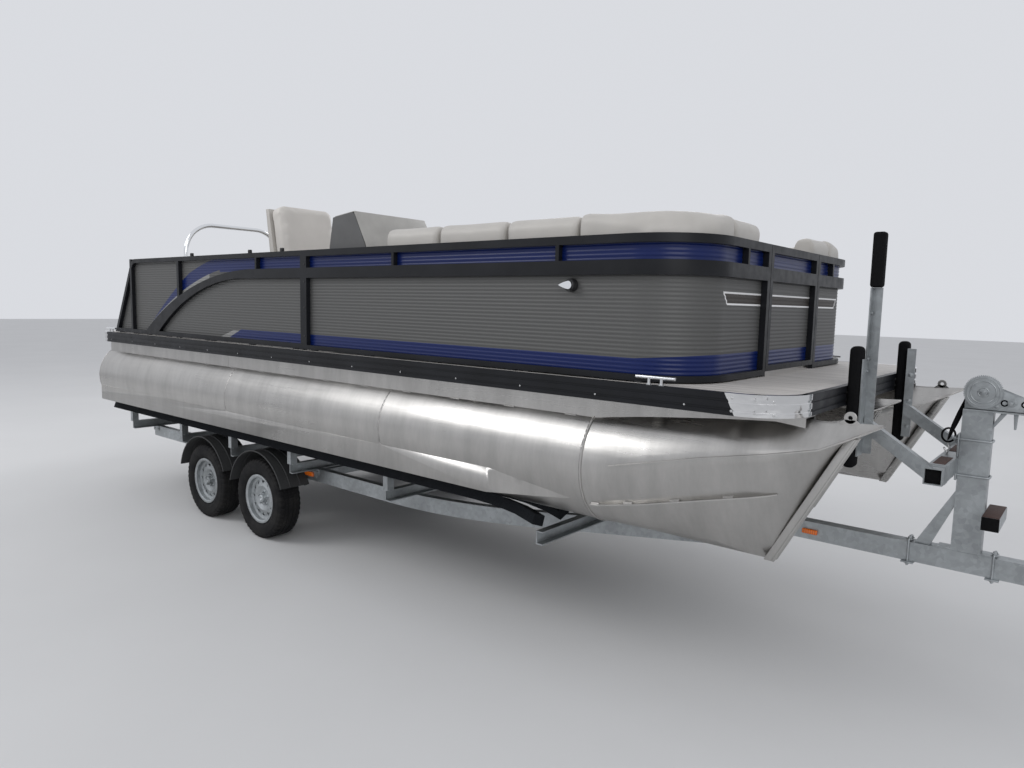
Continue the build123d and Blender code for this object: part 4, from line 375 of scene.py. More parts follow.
def sheet_paint(grey, blue):
    """Metallic grey with a blue band and window, an aft swoosh and an outlined bow stripe."""
    sheet = Finish("grey_sheet", grey, metallic=0.3, roughness=0.5, Specular_IOR_Level=0.3)
    x, y, z = sheet.axes()
    both = lambda first, second: sheet.math("MINIMUM", first, second)
    either = lambda first, second: sheet.math("MAXIMUM", first, second)
    above = lambda value, limit: sheet.math("GREATER_THAN", value, limit)
    below = lambda value, limit: sheet.math("LESS_THAN", value, limit)
    wide = sheet.math("ABSOLUTE", y)
    at_side = above(wide, 1.19)
    # low band: starts on a slant, with a pale lead-in
    lift = sheet.math("SUBTRACT", z, 1.586)
    band_start = sheet.math("ADD", sheet.math("MULTIPLY", lift, 2.6), sx(2.42))
    band_top = sheet.span(x, sx(6.15), sx(6.45), 1.660, 1.684)
    band = both(below(z, band_top), above(x, band_start))
    lead_start = sheet.math("ADD", sheet.math("MULTIPLY", lift, 3.4), sx(2.28))
    lead = both(both(above(x, lead_start), below(x, band_start)), below(z, 1.650))
    # window strip, and the swoosh that follows the arc's upper edge
    ahead = sheet.math("MINIMUM", sheet.math("SUBTRACT", x, sx(0.983)), 1.815)
    arc = sheet.math(
        "ADD", sheet.math("MULTIPLY", ahead, sheet.math("MULTIPLY_ADD", ahead, -0.16671, 0.60508)), 1.576)
    over = sheet.math("SUBTRACT", z, arc)
    swoosh = both(
        both(above(over, 0.045), below(over, sheet.span(ahead, 0.10, 0.80, 0.045, 0.150))),
        above(ahead, 0.10))
    pale = both(both(above(over, -0.03), below(over, 0.045)), below(ahead, 1.15))
    window = both(above(z, 2.11), above(x, sx(2.30)))
    blue_part = either(either(band, window), both(swoosh, at_side))
    pale_part = either(both(lead, at_side), both(pale, at_side))
    # outlined stripe across the bow
    ends = sheet.math("MULTIPLY_ADD", sheet.math("SUBTRACT", z, 1.923), 0.8, 0.855)
    at_bow = above(x, sx(6.30))
    outer = both(both(both(above(z, 1.922), below(z, 1.986)), below(wide, ends)), at_bow)
    inner = both(both(above(z, 1.931), below(z, 1.977)), below(wide, sheet.math("SUBTRACT", ends, 0.012)))
    flake = sheet.noise(900.0, 1.0)
    paint = sheet.mix(sheet.span(flake, 0.3, 0.7), scaled(grey, 0.88), scaled(grey, 1.15))
    paint = sheet.mix(pale_part, paint, scaled(grey, 2.6))
    paint = sheet.mix(blue_part, paint, blue)
    paint = sheet.mix(outer, paint, (0.75, 0.75, 0.75))
    weave = sheet.cells(260.0, (1.0, 1.0, 2.0), output="Distance")
    paint = sheet.mix(
        both(outer, inner), paint,
        sheet.ramp(weave, ((0.2, (0.10, 0.085, 0.075)), (0.6, (0.03, 0.027, 0.025)))))
    sheet.feed("Base Color", paint)
    sheet.feed("Roughness", sheet.span(blue_part, 0.0, 1.0, 0.50, 0.30))
    sheet.feed("Metallic", sheet.span(blue_part, 0.0, 1.0, 0.30, 0.0))


def make_finishes(settings):
    """Makes every material of the boat and the trailer."""
    silver = tuple(settings.tube_silver)
    tube = Finish("mill_aluminium", silver, metallic=1.0, roughness=0.34)
    cloud = tube.noise(1.1, 5.0, (0.5, 1, 1), 0.6)
    grain = tube.noise(60.0, 3.0, (0.04, 1.0, 1.0))
    streak = tube.noise(7.0, 6.0, (1.0, 0.25, 0.25), 0.7)
    tube.mottle(streak, 0.35, 0.75, scaled(silver, 0.86), scaled(silver, 1.12))
    tube.feed(
        "Roughness",
        tube.math("ADD", tube.span(cloud, 0.3, 0.7, 0.24, 0.40), tube.span(grain, 0.3, 0.7, -0.05, 0.05)))
    tube.bump(grain, 0.10, 0.0006)
    tube.bump(tube.noise(2.2, 2.0), 0.25, 0.004)

    polished = Finish("polished_aluminium", (0.80, 0.80, 0.80), metallic=1.0, roughness=0.12)
    polished.bump(polished.noise(16.0, 2.0), 0.5, 0.0025)

    chromed = Finish("chromed", (0.83, 0.84, 0.85), metallic=1.0, roughness=0.07)
    chromed.wander(chromed.noise(30.0), 0.05, 0.12)

    black = tuple(settings.rail_black)
    rail = Finish("black_rail", black, roughness=0.42, Specular_IOR_Level=0.22)
    rail.mottle(rail.noise(3.0, 6.0), 0.35, 0.75, black, scaled(black, 2.1))
    rail.wander(rail.noise(14.0, 5.0), 0.30, 0.46)

    sheet_paint(tuple(settings.sheet_grey), tuple(settings.band_blue))

    vinyl = tuple(settings.deck_grey)
    deck = Finish("deck_vinyl", vinyl, roughness=0.62)
    across = deck.axes()[1]
    lane = deck.math("PINGPONG", deck.math("ADD", across, 3.0), 0.09)
    seam = deck.span(lane, 0.0, 0.0035, 0.0, 1.0)
    wood = deck.noise(9.0, 8.0, (0.35, 6.0, 1.0), 0.7, 0.4)
    plank = deck.math("FRACT", deck.math("MULTIPLY", deck.math("SINE", deck.math(
        "FLOOR", deck.math("DIVIDE", deck.math("ADD", across, 3.0), 0.18))), 43.7))
    shade = deck.ramp(
        wood,
        ((0.25, scaled(vinyl, 0.55)), (0.45, vinyl), (0.62, scaled(vinyl, 1.25)), (0.8, scaled(vinyl, 0.9))))
    shade = deck.mix(deck.math("MULTIPLY", plank, 0.22), shade, scaled(vinyl, 1.35))
    deck.feed("Base Color", deck.mix(seam, (0.05, 0.05, 0.05), shade))
    deck.bump(wood, 0.25, 0.0008)
    deck.bump(seam, 0.6, 0.0012)

    for slot, colour in (
            ("lounge_vinyl", tuple(settings.seat_outer)), ("chair_vinyl", tuple(settings.chair_cream))):
        hide = Finish(slot, colour, roughness=0.48, Sheen_Weight=0.08)
        grain = hide.cells(420.0, feature="DISTANCE_TO_EDGE", output="Distance")
        hide.bump(hide.span(grain, 0.0, 0.12), 0.18, 0.0004)
        hide.bump(hide.noise(14.0, 3.0), 0.14, 0.003)
        hide.mottle(hide.noise(5.0, 5.0), 0.3, 0.75, scaled(colour, 0.93), scaled(colour, 1.05))
        hide.wander(hide.noise(40.0, 4.0), 0.42, 0.56)

    plastics = (
        ("lounge_shell", (0.34, 0.33, 0.31), 0.45), ("console_shell", (0.080, 0.080, 0.080), 0.42),
        ("chair_frame", (0.42, 0.40, 0.37), 0.45), ("wheel_grip", (0.012, 0.012, 0.013), 0.55),
        ("fender_grey", (0.030, 0.031, 0.032), 0.62),
    )
    for slot, colour, rough in plastics:
        shell = Finish(slot, colour, roughness=rough)
        shell.bump(shell.noise(260.0, 2.0), 0.12, 0.0006)
        shell.mottle(shell.noise(4.0, 6.0), 0.35, 0.8, scaled(colour, 0.92), scaled(colour, 1.3))
        shell.wander(shell.noise(18.0, 5.0), rough - 0.06, rough + 0.08)

    paint = Finish(
        "engine_black", (0.012, 0.012, 0.014), roughness=0.34, Coat_Weight=0.4, Coat_Roughness=0.12)
    paint.wander(paint.noise(20.0, 5.0), 0.28, 0.42)
    hood = Finish("engine_hood", (0.010, 0.011, 0.013), roughness=0.16, Coat_Weight=0.8, Coat_Roughness=0.05)
    hood.wander(hood.noise(25.0, 5.0), 0.13, 0.22)

    steel = Finish("bright_steel", (0.60, 0.60, 0.60), metallic=1.0, roughness=0.22)
    steel.wander(steel.noise(30.0, 4.0, (1, 8, 1)), 0.16, 0.30)

    carpet = Finish("carpet", (0.012, 0.013, 0.015), roughness=0.95, Specular_IOR_Level=0.1)
    carpet.bump(carpet.noise(520.0, 2.0), 0.9, 0.003)
    carpet.feed(
        "Base Color", carpet.mix(carpet.noise(140.0, 3.0), (0.005, 0.006, 0.007), (0.022, 0.024, 0.028)))
    sleeve = Finish("pad_black", (0.006, 0.006, 0.006), roughness=0.95, Specular_IOR_Level=0.1)
    sleeve.bump(sleeve.noise(480.0, 2.0), 0.8, 0.003)
    sleeve.feed(
        "Base Color", sleeve.mix(sleeve.noise(120.0, 3.0), (0.003, 0.003, 0.0035), (0.011, 0.011, 0.012)))

    zinc = tuple(settings.zinc_grey)
    coat = Finish("galvanised", zinc, metallic=0.85, roughness=0.42)
    spangle = coat.span(coat.cells(48.0), 0.0, 1.0, 0.88, 1.12)
    patch = coat.noise(3.0, 6.0)
    fine = coat.noise(70.0, 4.0)
    tone = coat.mix(coat.span(patch, 0.3, 0.72), scaled(zinc, 0.72), scaled(zinc, 1.30))
    coat.feed("Base Color", coat.mix(1.0, tone, spangle, "MULTIPLY"))
    coat.feed(
        "Roughness",
        coat.math("ADD", coat.span(patch, 0.3, 0.7, 0.34, 0.52), coat.span(fine, 0.3, 0.7, -0.05, 0.06)))
    coat.bump(fine, 0.12, 0.0008)

    lens = Finish("amber_lens", (0.75, 0.16, 0.01), roughness=0.18, Coat_Weight=0.5)
    lens.feed(
        "Base Color",
        lens.mix(
            lens.span(lens.math("PINGPONG", lens.axes()[0], 0.006), 0.0, 0.006), (0.50, 0.08, 0.005),
            (0.85, 0.20, 0.01)))
    tread = Finish("step_tread", (0.060, 0.036, 0.030), roughness=0.85)
    tread.bump(tread.cells(110.0), 0.9, 0.003)
    tread.feed("Base Color", tread.mix(tread.noise(90.0, 3.0), (0.022, 0.016, 0.014), (0.110, 0.060, 0.050)))

    tyre = Finish("tyre_black", (0.011, 0.011, 0.012), roughness=0.78, Specular_IOR_Level=0.2)
    tyre.mottle(tyre.noise(9.0, 6.0), 0.4, 0.8, (0.008, 0.008, 0.009), (0.024, 0.023, 0.022))
    tyre.bump(tyre.noise(300.0, 2.0), 0.15, 0.0006)


def dress_node(node, finish):
    slots = node.data.materials
    for index in range(len(slots)):
        slots[index] = finish.material
    if not slots:
        slots.append(finish.material)


class BOAT_OT_dress_solids(bpy.types.Operator):
    """Gives every solid of the frame its finish"""
    bl_idname = "boat.dress_solids"
    bl_label = "Dress solids"

    def execute(self, context):
        make_finishes(context.scene.boat_finish)
        for part in frame["record"]["subparts"]:
            dress_node(frame["nodes"][part["node"]], finishes[part["material_slot"]])
        return {"FINISHED"}


# Meshes from sections

def turns(count):
    """Angles round a full circle."""
    return [2 * math.pi * step / count for step in range(count)]


def loft(name, rings, closed_path=False, caps=True):
    """A skin over like rings of points, each ring a closed section."""
    count, total = len(rings[0]), len(rings)
    corners = [tuple(point) for ring in rings for point in ring]
    faces = []
    for row in range(total if closed_path else total - 1):
        low, high = row * count, (row + 1) % total * count
        for step in range(count):
            after = (step + 1) % count
            faces.append((low + step, low + after, high + after, high + step))
    if caps and not closed_path:
        faces.append(tuple(reversed(range(count))))
        faces.append(tuple(range(count * (total - 1), count * total)))
    mesh = bpy.data.meshes.new(name)
    mesh.from_pydata(corners, [], faces)
    item = bpy.data.objects.new(name, mesh)
    bpy.context.collection.objects.link(item)
    return tidy_mesh(item)


def tidy_mesh(item, distance=1e-5):
    """Merges doubles and turns every face outwards."""
    return in_edit_mode(item, (bpy.ops.mesh.remove_doubles, {"threshold": distance}), FACE_OUT)


def solid_copy(name, node):
    """A merged copy of a solid's mesh, to start a piece from."""
    twin = bpy.data.objects.new(name, frame["nodes"][node].data.copy())
    bpy.context.collection.objects.link(twin)
    return tidy_mesh(twin, 1e-4)


def cut(item, point, outward):
    """Cuts off what lies beyond a plane and closes the cut."""
    return in_edit_mode(item, (bpy.ops.mesh.bisect, {"plane_co": point, "plane_no": outward,
                                                     "use_fill": True, "clear_outer": True}))


def turned(name, centre, side, profile, steps=64):
    """A profile of (out, radius) points turned round a line along Y; side is which way out points."""
    x, y, z = centre
    rings = []
    for angle in turns(steps):
        rings.append([(x + radius * math.cos(angle), y + side * out, z + radius * math.sin(angle))
                      for out, radius in profile])
    return loft(name, rings, closed_path=True)


def arc_points(first, middle, last, steps):
    """Points along the arc through three points, without the last one."""
    (ax, ay), (bx, by), (cx, cy) = first, middle, last
    cross = 2 * (ax * (by - cy) + bx * (cy - ay) + cx * (ay - by))
    if abs(cross) < 1e-6:
        return [(ax + (cx - ax) * step / steps, ay + (cy - ay) * step / steps) for step in range(steps)]
    a, b, c = ax * ax + ay * ay, bx * bx + by * by, cx * cx + cy * cy
    ux = (a * (by - cy) + b * (cy - ay) + c * (ay - by)) / cross
    uy = (a * (cx - bx) + b * (ax - cx) + c * (bx - ax)) / cross
    radius, start = math.hypot(ax - ux, ay - uy), math.atan2(ay - uy, ax - ux)
    via = (math.atan2(by - uy, bx - ux) - start) % (2 * math.pi)
    sweep = (math.atan2(cy - uy, cx - ux) - start) % (2 * math.pi)
    if via > sweep:
        sweep -= 2 * math.pi
    return [
        (ux + radius * math.cos(start + sweep * step / steps),
         uy + radius * math.sin(start + sweep * step / steps))
        for step in range(steps)]


# Tubes and noses

TUBE_R = 0.3175
TUBE_AXIS_Z = 1.1145
TUBE_SPACING = 1.029
NOSE_JOINT = 5.955
SKIN_R = TUBE_R + 0.0009     # the smooth skin, out from the solid's facets
SKIN_STEPS = 144
SKIN_STATIONS = (0.1765, 1.5, 3.0, 4.5)
CENTER_SET_BACK = 0.155
# a nose's sections: ahead of the joint, half width and height of the edge, crown, keel, middle of the side
# (out, up), all from the tube's axis
NOSE_ROWS = (
    (0.000, 0.3175, 0.000, 0.3175, -0.3175, 0.2245, -0.2245),
    (0.160, 0.3165, 0.040, 0.3190, -0.3210, 0.2330, -0.1990),
    (0.320, 0.3120, 0.078, 0.3200, -0.3240, 0.2380, -0.1720),
    (0.600, 0.2800, 0.142, 0.3230, -0.3300, 0.1660, -0.1240),
    (0.850, 0.2150, 0.184, 0.3240, -0.3300, 0.1170, -0.0760),
    (1.050, 0.1300, 0.222, 0.3230, 0.1180, 0.0680, 0.1660),
    (1.115, 0.0950, 0.254, 0.3260, 0.2360, 0.0490, 0.2420),
    (1.214, 0.0360, 0.305, 0.3310, 0.2950, 0.0190, 0.2980),
    (1.262, 0.0040, 0.331, 0.3335, 0.3290, 0.0020, 0.3295),
)
DISHED_FROM = 1.0            # ahead of the joint, where the top turns from round to dished
NOSE_STEPS = 12
LIP_OUT = 0.012
SPRAY_ENDS = ((0.019, -0.192), (0.891, -0.004))
SPRAY_OUT = 0.025
SPRAY_T = 0.006
SPRAY_GUSSETS = (0.06, 0.25, 0.47, 0.70)
STEM_LINE = ((0.850, -0.330), (1.165, 0.266))
STEM_DEEP = 0.035
OUTER_EYE = (1.130, 0.348)
CENTER_EYE = (1.040, -0.010)


def nose_side(row, sign):
    _, half, edge, _, keel, side_out, side_up = row
    return arc_points((sign * half, edge), (sign * side_out, side_up), (0.0, keel), NOSE_STEPS)


def nose_ring(row):
    """A nose's closed section as (out, up) points: port edge, crown, starboard edge, keel and back."""
    ahead, half, edge, crown, keel, *_ = row
    if ahead < DISHED_FROM:
        top = arc_points((half, edge), (0.0, crown), (-half, edge), 2 * NOSE_STEPS)
    else:
        middle = (half * 0.52, edge + (crown - edge) * 0.40)
        top = arc_points((half, edge), middle, (0.0, crown), NOSE_STEPS)
        top += arc_points((0.0, crown), (-middle[0], middle[1]), (-half, edge), NOSE_STEPS)
    starboard = nose_side(row, -1)
    port = [(0.0, keel)] + list(reversed(nose_side(row, 1)))[:-1]
    return top + starboard + port


def nose_reach(ahead, up):
    """Half width of a nose's side at a place below its edge."""
    for low, high in zip(NOSE_ROWS, NOSE_ROWS[1:]):
        if low[0] <= ahead <= high[0]:
            share = (ahead - low[0]) / (high[0] - low[0])
            side = [((1 - share) * a[0] + share * b[0], (1 - share) * a[1] + share * b[1])
                    for a, b in zip(nose_side(low, 1), nose_side(high, 1))]
            for above, below in zip(side, side[1:]):
                if below[1] <= up <= above[1]:
                    part = (up - below[1]) / (above[1] - below[1])
                    return below[0] + part * (above[0] - below[0])
            return side[0][0] if up > side[0][1] else 0.0
    return 0.0


def nose_pieces(name, axis_y, joint_x, eye):
    """The parts of one nose, from the joint forward."""
    place_at = lambda ahead, out, up: (joint_x + ahead, axis_y + out, TUBE_AXIS_Z + up)
    parts = [loft(
        name + "_plates", [[place_at(row[0], out, up) for out, up in nose_ring(row)] for row in NOSE_ROWS])]
    for side in (-1, 1):
        # the top plate's edge, standing out over the side plate
        rings = []
        for ahead, half, edge, *_ in NOSE_ROWS[1:]:
            inner, outer = max(half - 0.02, 0.0), half + LIP_OUT
            section = (
                (inner, edge - 0.009), (outer, edge - 0.007), (outer, edge - 0.001), (inner, edge + 0.003))
            rings.append([place_at(ahead, side * out, up) for out, up in section])
        parts.append(loft(name + "_lip", rings))
        # spray rail low on the side, tapered at both ends, with small gussets on top
        (aft, aft_up), (fore, fore_up) = SPRAY_ENDS
        rings = []
        for step in range(25):
            share = step / 24
            ahead, up = aft + (fore - aft) * share, aft_up + (fore_up - aft_up) * share
            root = nose_reach(ahead, up)
            reach = SPRAY_OUT * min(1.0, 6 * share + 0.3, 6 * (1 - share) + 0.3)
            section = (
                (root - 0.012, up), (root + reach, up), (root + reach, up + SPRAY_T),
                (root - 0.012, up + SPRAY_T))
            rings.append([place_at(ahead, side * out, high) for out, high in section])
        parts.append(loft(name + "_spray_rail", rings))
        for gusset in SPRAY_GUSSETS:
            share = (gusset - aft) / (fore - aft)
            up = aft_up + (fore_up - aft_up) * share + SPRAY_T
            root = nose_reach(gusset, up)
            section = (
                (root - 0.01, up - 0.002), (root + SPRAY_OUT * 0.7, up - 0.002), (root - 0.002, up + 0.016))
            parts.append(loft(
                name + "_gusset",
                [[place_at(gusset + along, side * out, high) for out, high in section]
                 for along in (-0.022, 0.022)]))
    # weld round the joint
    clear_selection()
    bpy.ops.mesh.primitive_torus_add(
        location=(joint_x, axis_y, TUBE_AXIS_Z), rotation=(0, math.pi / 2, 0), major_radius=TUBE_R + 0.001,
        minor_radius=0.0055, major_segments=72, minor_segments=8)
    parts.append(settle(name + "_weld"))
    # stem: a wide bar with two narrow ribs standing on it
    (foot, foot_up), (head, head_up) = STEM_LINE
    for middle, half, proud in ((0.0, 0.034, 0.0), (-0.020, 0.006, 0.009), (0.020, 0.006, 0.009)):
        section = (
            (foot + proud, foot_up - proud / 2), (head + proud, head_up), (head - STEM_DEEP, head_up),
            (foot - STEM_DEEP, foot_up))
        bar = loft(
            name + "_stem",
            [[place_at(ahead, middle + side * half, up) for ahead, up in section] for side in (-1, 1)])
        parts.append(modify(bar, "BEVEL", width=0.003, segments=2, limit_method="ANGLE"))
    # eye: a plate ring on its root
    ahead, up = eye
    ring = turned(
        name + "_eye", place_at(ahead, 0.0, up), 1,
        ((-0.005, 0.010), (0.005, 0.010), (0.005, 0.024), (0.003, 0.026), (-0.003, 0.026), (-0.005, 0.024)),
        32)
    parts.append(ring)
    if up > 0:
        root = (
            (ahead - 0.072, up - 0.050), (ahead + 0.072, up - 0.050), (ahead + 0.023, up - 0.008),
            (ahead - 0.023, up - 0.008))
    else:
        root = (
            (ahead - 0.060, up - 0.052), (ahead - 0.060, up + 0.052), (ahead - 0.016, up + 0.020),
            (ahead - 0.016, up - 0.020))
    parts.append(loft(
        name + "_eye_root", [[place_at(a, side * 0.005, u) for a, u in root] for side in (-1, 1)]))
    return parts


class BOAT_OT_tubes(bpy.types.Operator):
    """Models the three tubes again, with their plated noses, lips, spray rails, stems and welds"""
    bl_idname = "boat.tubes"
    bl_label = "Tubes and noses"

    def execute(self, context):
        tubes = (("starboard", -TUBE_SPACING, 0.0, OUTER_EYE), ("port", TUBE_SPACING, 0.0, OUTER_EYE),
                 ("center", 0.0, CENTER_SET_BACK, CENTER_EYE))
        for side, axis_y, set_back, eye in tubes:
            node = "pontoon_" + side
            joint_x = sx(NOSE_JOINT - set_back)
            body = cut(solid_copy(node + "_tube", node), (joint_x, 0, 0), (1, 0, 0))
            hoops = [[(x, axis_y + SKIN_R * math.cos(turn), TUBE_AXIS_Z + SKIN_R * math.sin(turn))
                      for turn in turns(SKIN_STEPS)]
                     for x in (*[sx(station) for station in SKIN_STATIONS], joint_x)]
            skin = loft(node + "_skin", hoops, caps=False)
            piece = join(node + "_plated", body, skin, *nose_pieces(node, axis_y, joint_x, eye))
            place(piece, HULL, "mill_aluminium", node=node)
        return {"FINISHED"}


# Risers

RISER_PLAN = ((0.200, 0.208), (2.0, 0.208), (4.0, 0.208), (5.955, 0.208), (6.480, 0.135), (6.925, 0.062))
RISER_TOP = 1.453
RISER_FOOT = TUBE_AXIS_Z + 0.24   # highest place of the risers' feet
RISER_T = 0.006
RISER_FACE = 0.2095          # where straps and tacks stand, out from the tube's axis


class BOAT_OT_risers(bpy.types.Operator):
    """Models the risers on the tubes, narrowing over the noses, with tacks along their feet"""
    bl_idname = "boat.risers"
    bl_label = "Risers"

    def execute(self, context):
        parts = []
        for axis_y in (-TUBE_SPACING, 0.0, TUBE_SPACING):
            rings = []
            for station, half in RISER_PLAN:
                foot = TUBE_AXIS_Z + math.sqrt(TUBE_R ** 2 - half ** 2) - (
                    0.0 if station < NOSE_JOINT + 0.01 else 0.05)
                foot = min(foot, RISER_FOOT)
                inner, under = half - RISER_T, RISER_TOP - RISER_T
                section = ((-half, foot), (-half, RISER_TOP), (half, RISER_TOP), (half, foot),
                           (inner, foot), (inner, under), (-inner, under), (-inner, foot))
                rings.append([(sx(station), axis_y + out, up) for out, up in section])
            parts.append(loft("riser", rings))
            # a butt joint's strap and short weld tacks
            for station in (2.45, 4.85):
                for side in (-1, 1):
                    y = axis_y + side * RISER_FACE
                    parts.append(block(
                        "riser_strap", (sx(station), sx(station) + 0.008), sorted((y, y - side * 0.004)),
                        (TUBE_AXIS_Z + 0.238, RISER_TOP), 0.001, 1))
            for index in range(14):
                for side in (-1, 1):
                    x = sx(0.45 + index * 0.41)
                    parts.append(rod("tack", (x, axis_y + side * RISER_FACE, TUBE_AXIS_Z + 0.2392),
                                     (x + 0.07, axis_y + side * RISER_FACE, TUBE_AXIS_Z + 0.2392), 0.004, 6))
        piece = join("risers", *parts)
        place(piece, HULL, "mill_aluminium", node="deck_risers")
        return {"FINISHED"}


# Ribbed sheets

FENCE_HALF = 1.242
FENCE_FORE = 6.478
FENCE_R = 0.360
FENCE_DEPTH = 0.032
FENCE_BOTTOM = DECK_TOP + 0.007
FENCE_TOP = DECK_TOP + 0.697
SHEET_T = 0.0098
SHEET_INSET = 0.014
JOINT_STATION = 3.5025
BOW_GATE_HALF = 0.393
PORT_GATE_FORE = 4.250
RIB_PITCH = 0.021
RIB_DEEP = 0.003
RIB_STEPS = 4


def ribbed_section(low, high):
    """(height, depth) points: up the ribbed face, then back down the flat rear."""
    ribs = round((high - low) / RIB_PITCH)
    count = ribs * RIB_STEPS
    face = [
        (low + (high - low) * step / count,
         RIB_DEEP * (0.5 - 0.5 * math.cos(2 * math.pi * step / RIB_STEPS)))
        for step in range(count + 1)]
    return face + [(high, SHEET_T), (low, SHEET_T)]


def ribbed_sheet(name, path, low, high):
    """A ribbed sheet along a path of (x, y, outward x, outward y) rows on its face."""
    section = ribbed_section(low, high)
    return loft(name, [[(x - out_x * depth, y - out_y * depth, up) for up, depth in section]
                       for x, y, out_x, out_y in path])


def fore_sheet(name, side, start):
    """The sheet from a side post round the bow's corner to the bow gate."""
    low, high = FENCE_BOTTOM + SHEET_INSET, FENCE_TOP - SHEET_INSET
    corner_x, corner_y, radius = sx(FENCE_FORE - FENCE_R), FENCE_HALF - FENCE_R, FENCE_R - FENCE_DEPTH
    path = [(sx(start) + SHEET_INSET, side * (corner_y + radius), 0.0, side)]
    for step in range(25):
        angle = math.pi / 2 * step / 24
        path.append((corner_x + radius * math.sin(angle), side * (corner_y + radius * math.cos(angle)),
                     math.sin(angle), side * math.cos(angle)))
    path.append((corner_x + radius, side * (BOW_GATE_HALF + SHEET_INSET), 1.0, 0.0))
    return ribbed_sheet(name, path, low, high)


def aft_sheet(name, side):
    """The flat aft sheet, cut along its slanted end and across its shoulder."""
    low, high = FENCE_BOTTOM + SHEET_INSET, FENCE_TOP - SHEET_INSET
    y = side * (FENCE_HALF - FENCE_DEPTH)
    sheet = ribbed_sheet(
        name, [(sx(0.30), y, 0.0, side), (sx(JOINT_STATION) - SHEET_INSET, y, 0.0, side)], low, high)
    foot, shoulder = 0.334, 0.7406
    slope = math.atan2(FENCE_TOP - FENCE_BOTTOM, shoulder - foot)
    outward = Vector((-math.sin(slope), 0.0, math.cos(slope)))
    cut(sheet, Vector((sx(foot), y, FENCE_BOTTOM)) - outward * SHEET_INSET, outward)
    corner_out = Vector((-math.sin(slope / 2), 0.0, math.cos(slope / 2)))
    cut(sheet, Vector((sx(shoulder), y, FENCE_TOP)) - corner_out * 0.033, corner_out)
    return sheet


def flat_sheet(name, node, outward):
    """A ribbed sheet in a flat solid's own box, facing outward."""
    low, high = (Vector(corner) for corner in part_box(node))
    if outward[0]:
        x = high.x if outward[0] > 0 else low.x
        path = [(x, low.y, *outward), (x, high.y, *outward)]
    else:
        y = high.y if outward[1] > 0 else low.y
        path = [(low.x, y, *outward), (high.x, y, *outward)]
    return ribbed_sheet(name, path, low.z, high.z)


class BOAT_OT_sheets(bpy.types.Operator):
    """Models the ribbed sheets of the fence and the gates"""
    bl_idname = "boat.sheets"
    bl_label = "Ribbed sheets"

    def execute(self, context):
        for side, name, start in ((-1, "starboard", JOINT_STATION), (1, "port", PORT_GATE_FORE)):
            piece = join("ribbed_sheet_" + name, fore_sheet("fore", side, start), aft_sheet("aft", side))
            place(piece, HULL, "grey_sheet", node="panel_" + name)
        for gate, outward in (("bow_gate", (1, 0)), ("port_gate", (0, 1)), ("stern_gate", (-1, 0))):
            piece = flat_sheet("ribbed_sheet_" + gate, gate + "_panel", outward)
            place(piece, gate, "grey_sheet", node=gate + "_panel")
        low, high = (Vector(corner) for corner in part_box("panel_stern"))
        runs = []
        for start, end in ((low.y, -1.074), (-0.423, high.y)):
            runs.append(ribbed_sheet(
                "stern_sheet", [(low.x, start, -1, 0), (low.x, end, -1, 0)], low.z, high.z))
        piece = join("ribbed_sheet_stern", *runs)
        place(piece, HULL, "grey_sheet", node="panel_stern")
        return {"FINISHED"}


# Upholstery

LOUNGE_VOXEL = 0.024         # cells of the remeshed covers
CHAIR_VOXEL = 0.018
PAD_GROWTH = 0.010           # most that a cover may swell past its solid
PAD_START = 0.0010           # how far inside its solid a cover starts
BACK_DEPTHS = (0.050, 0.175)  # the backs' faces, in from the fence's outer face
BACK_TOP = DECK_TOP + 0.818


def loose_parts(item):
    """The separate shells of a mesh, each as its own object."""
    in_edit_mode(item, (bpy.ops.mesh.separate, {"type": "LOOSE"}))
    return list(bpy.context.selected_objects)


def corners_of(item):
    points = [vertex.co for vertex in item.data.vertices]
    return (Vector(min(point[axis] for point in points) for axis in range(3)),
            Vector(max(point[axis] for point in points) for axis in range(3)))


def blow_up(jobs, voxel, softness):
    """Swells closed covers by a short cloth simulation, each within its own limits.

    A job is a cover and how far it may grow past its box: (low corner, high corner)."""
    starts = []
    for cover, grow_low, grow_high in jobs:
        low, high = corners_of(cover)
        centre, size = (low + high) / 2, high - low
        for vertex in cover.data.vertices:
            for axis in range(3):
                vertex.co[axis] = centre[axis] + (vertex.co[axis] - centre[axis]) * (
                    1 - 2 * PAD_START / size[axis])
        modify(cover, "REMESH", mode="VOXEL", voxel_size=voxel, use_smooth_shade=True)
        roll_top(cover)
        modify(cover, "SMOOTH", factor=0.5, iterations=softness)
        starts.append((
            [vertex.co.copy() for vertex in cover.data.vertices], low - grow_low, high + grow_high))
    for cover, *_ in jobs:
        cloth = cover.modifiers.new("Cloth", "CLOTH")
        cloth.settings.quality = 4
        cloth.settings.mass = 0.25
        cloth.settings.tension_stiffness = 12.0
        cloth.settings.compression_stiffness = 12.0
        cloth.settings.shear_stiffness = 6.0
        cloth.settings.bending_stiffness = 0.8
        cloth.settings.use_pressure = True
        cloth.settings.uniform_pressure_force = 4.0
        cloth.settings.effector_weights.gravity = 0.0
        cloth.collision_settings.use_collision = False
        cloth.point_cache.frame_start, cloth.point_cache.frame_end = 1, 20
    for number in range(1, 21):
        bpy.context.scene.frame_set(number)
    for cover, *_ in jobs:
        select_only(cover)
        bpy.ops.object.modifier_apply(modifier="Cloth")
    bpy.context.scene.frame_set(1)
    for (cover, *_), (before, low, high) in zip(jobs, starts):
        for vertex, start in zip(cover.data.vertices, before):
            move = vertex.co - start
            if move.length > PAD_GROWTH + PAD_START:
                vertex.co = start + move.normalized() * (PAD_GROWTH + PAD_START)
            for axis in range(3):
                vertex.co[axis] = min(max(vertex.co[axis], low[axis]), high[axis])
        modify(cover, "SUBSURF", levels=1, render_levels=1)


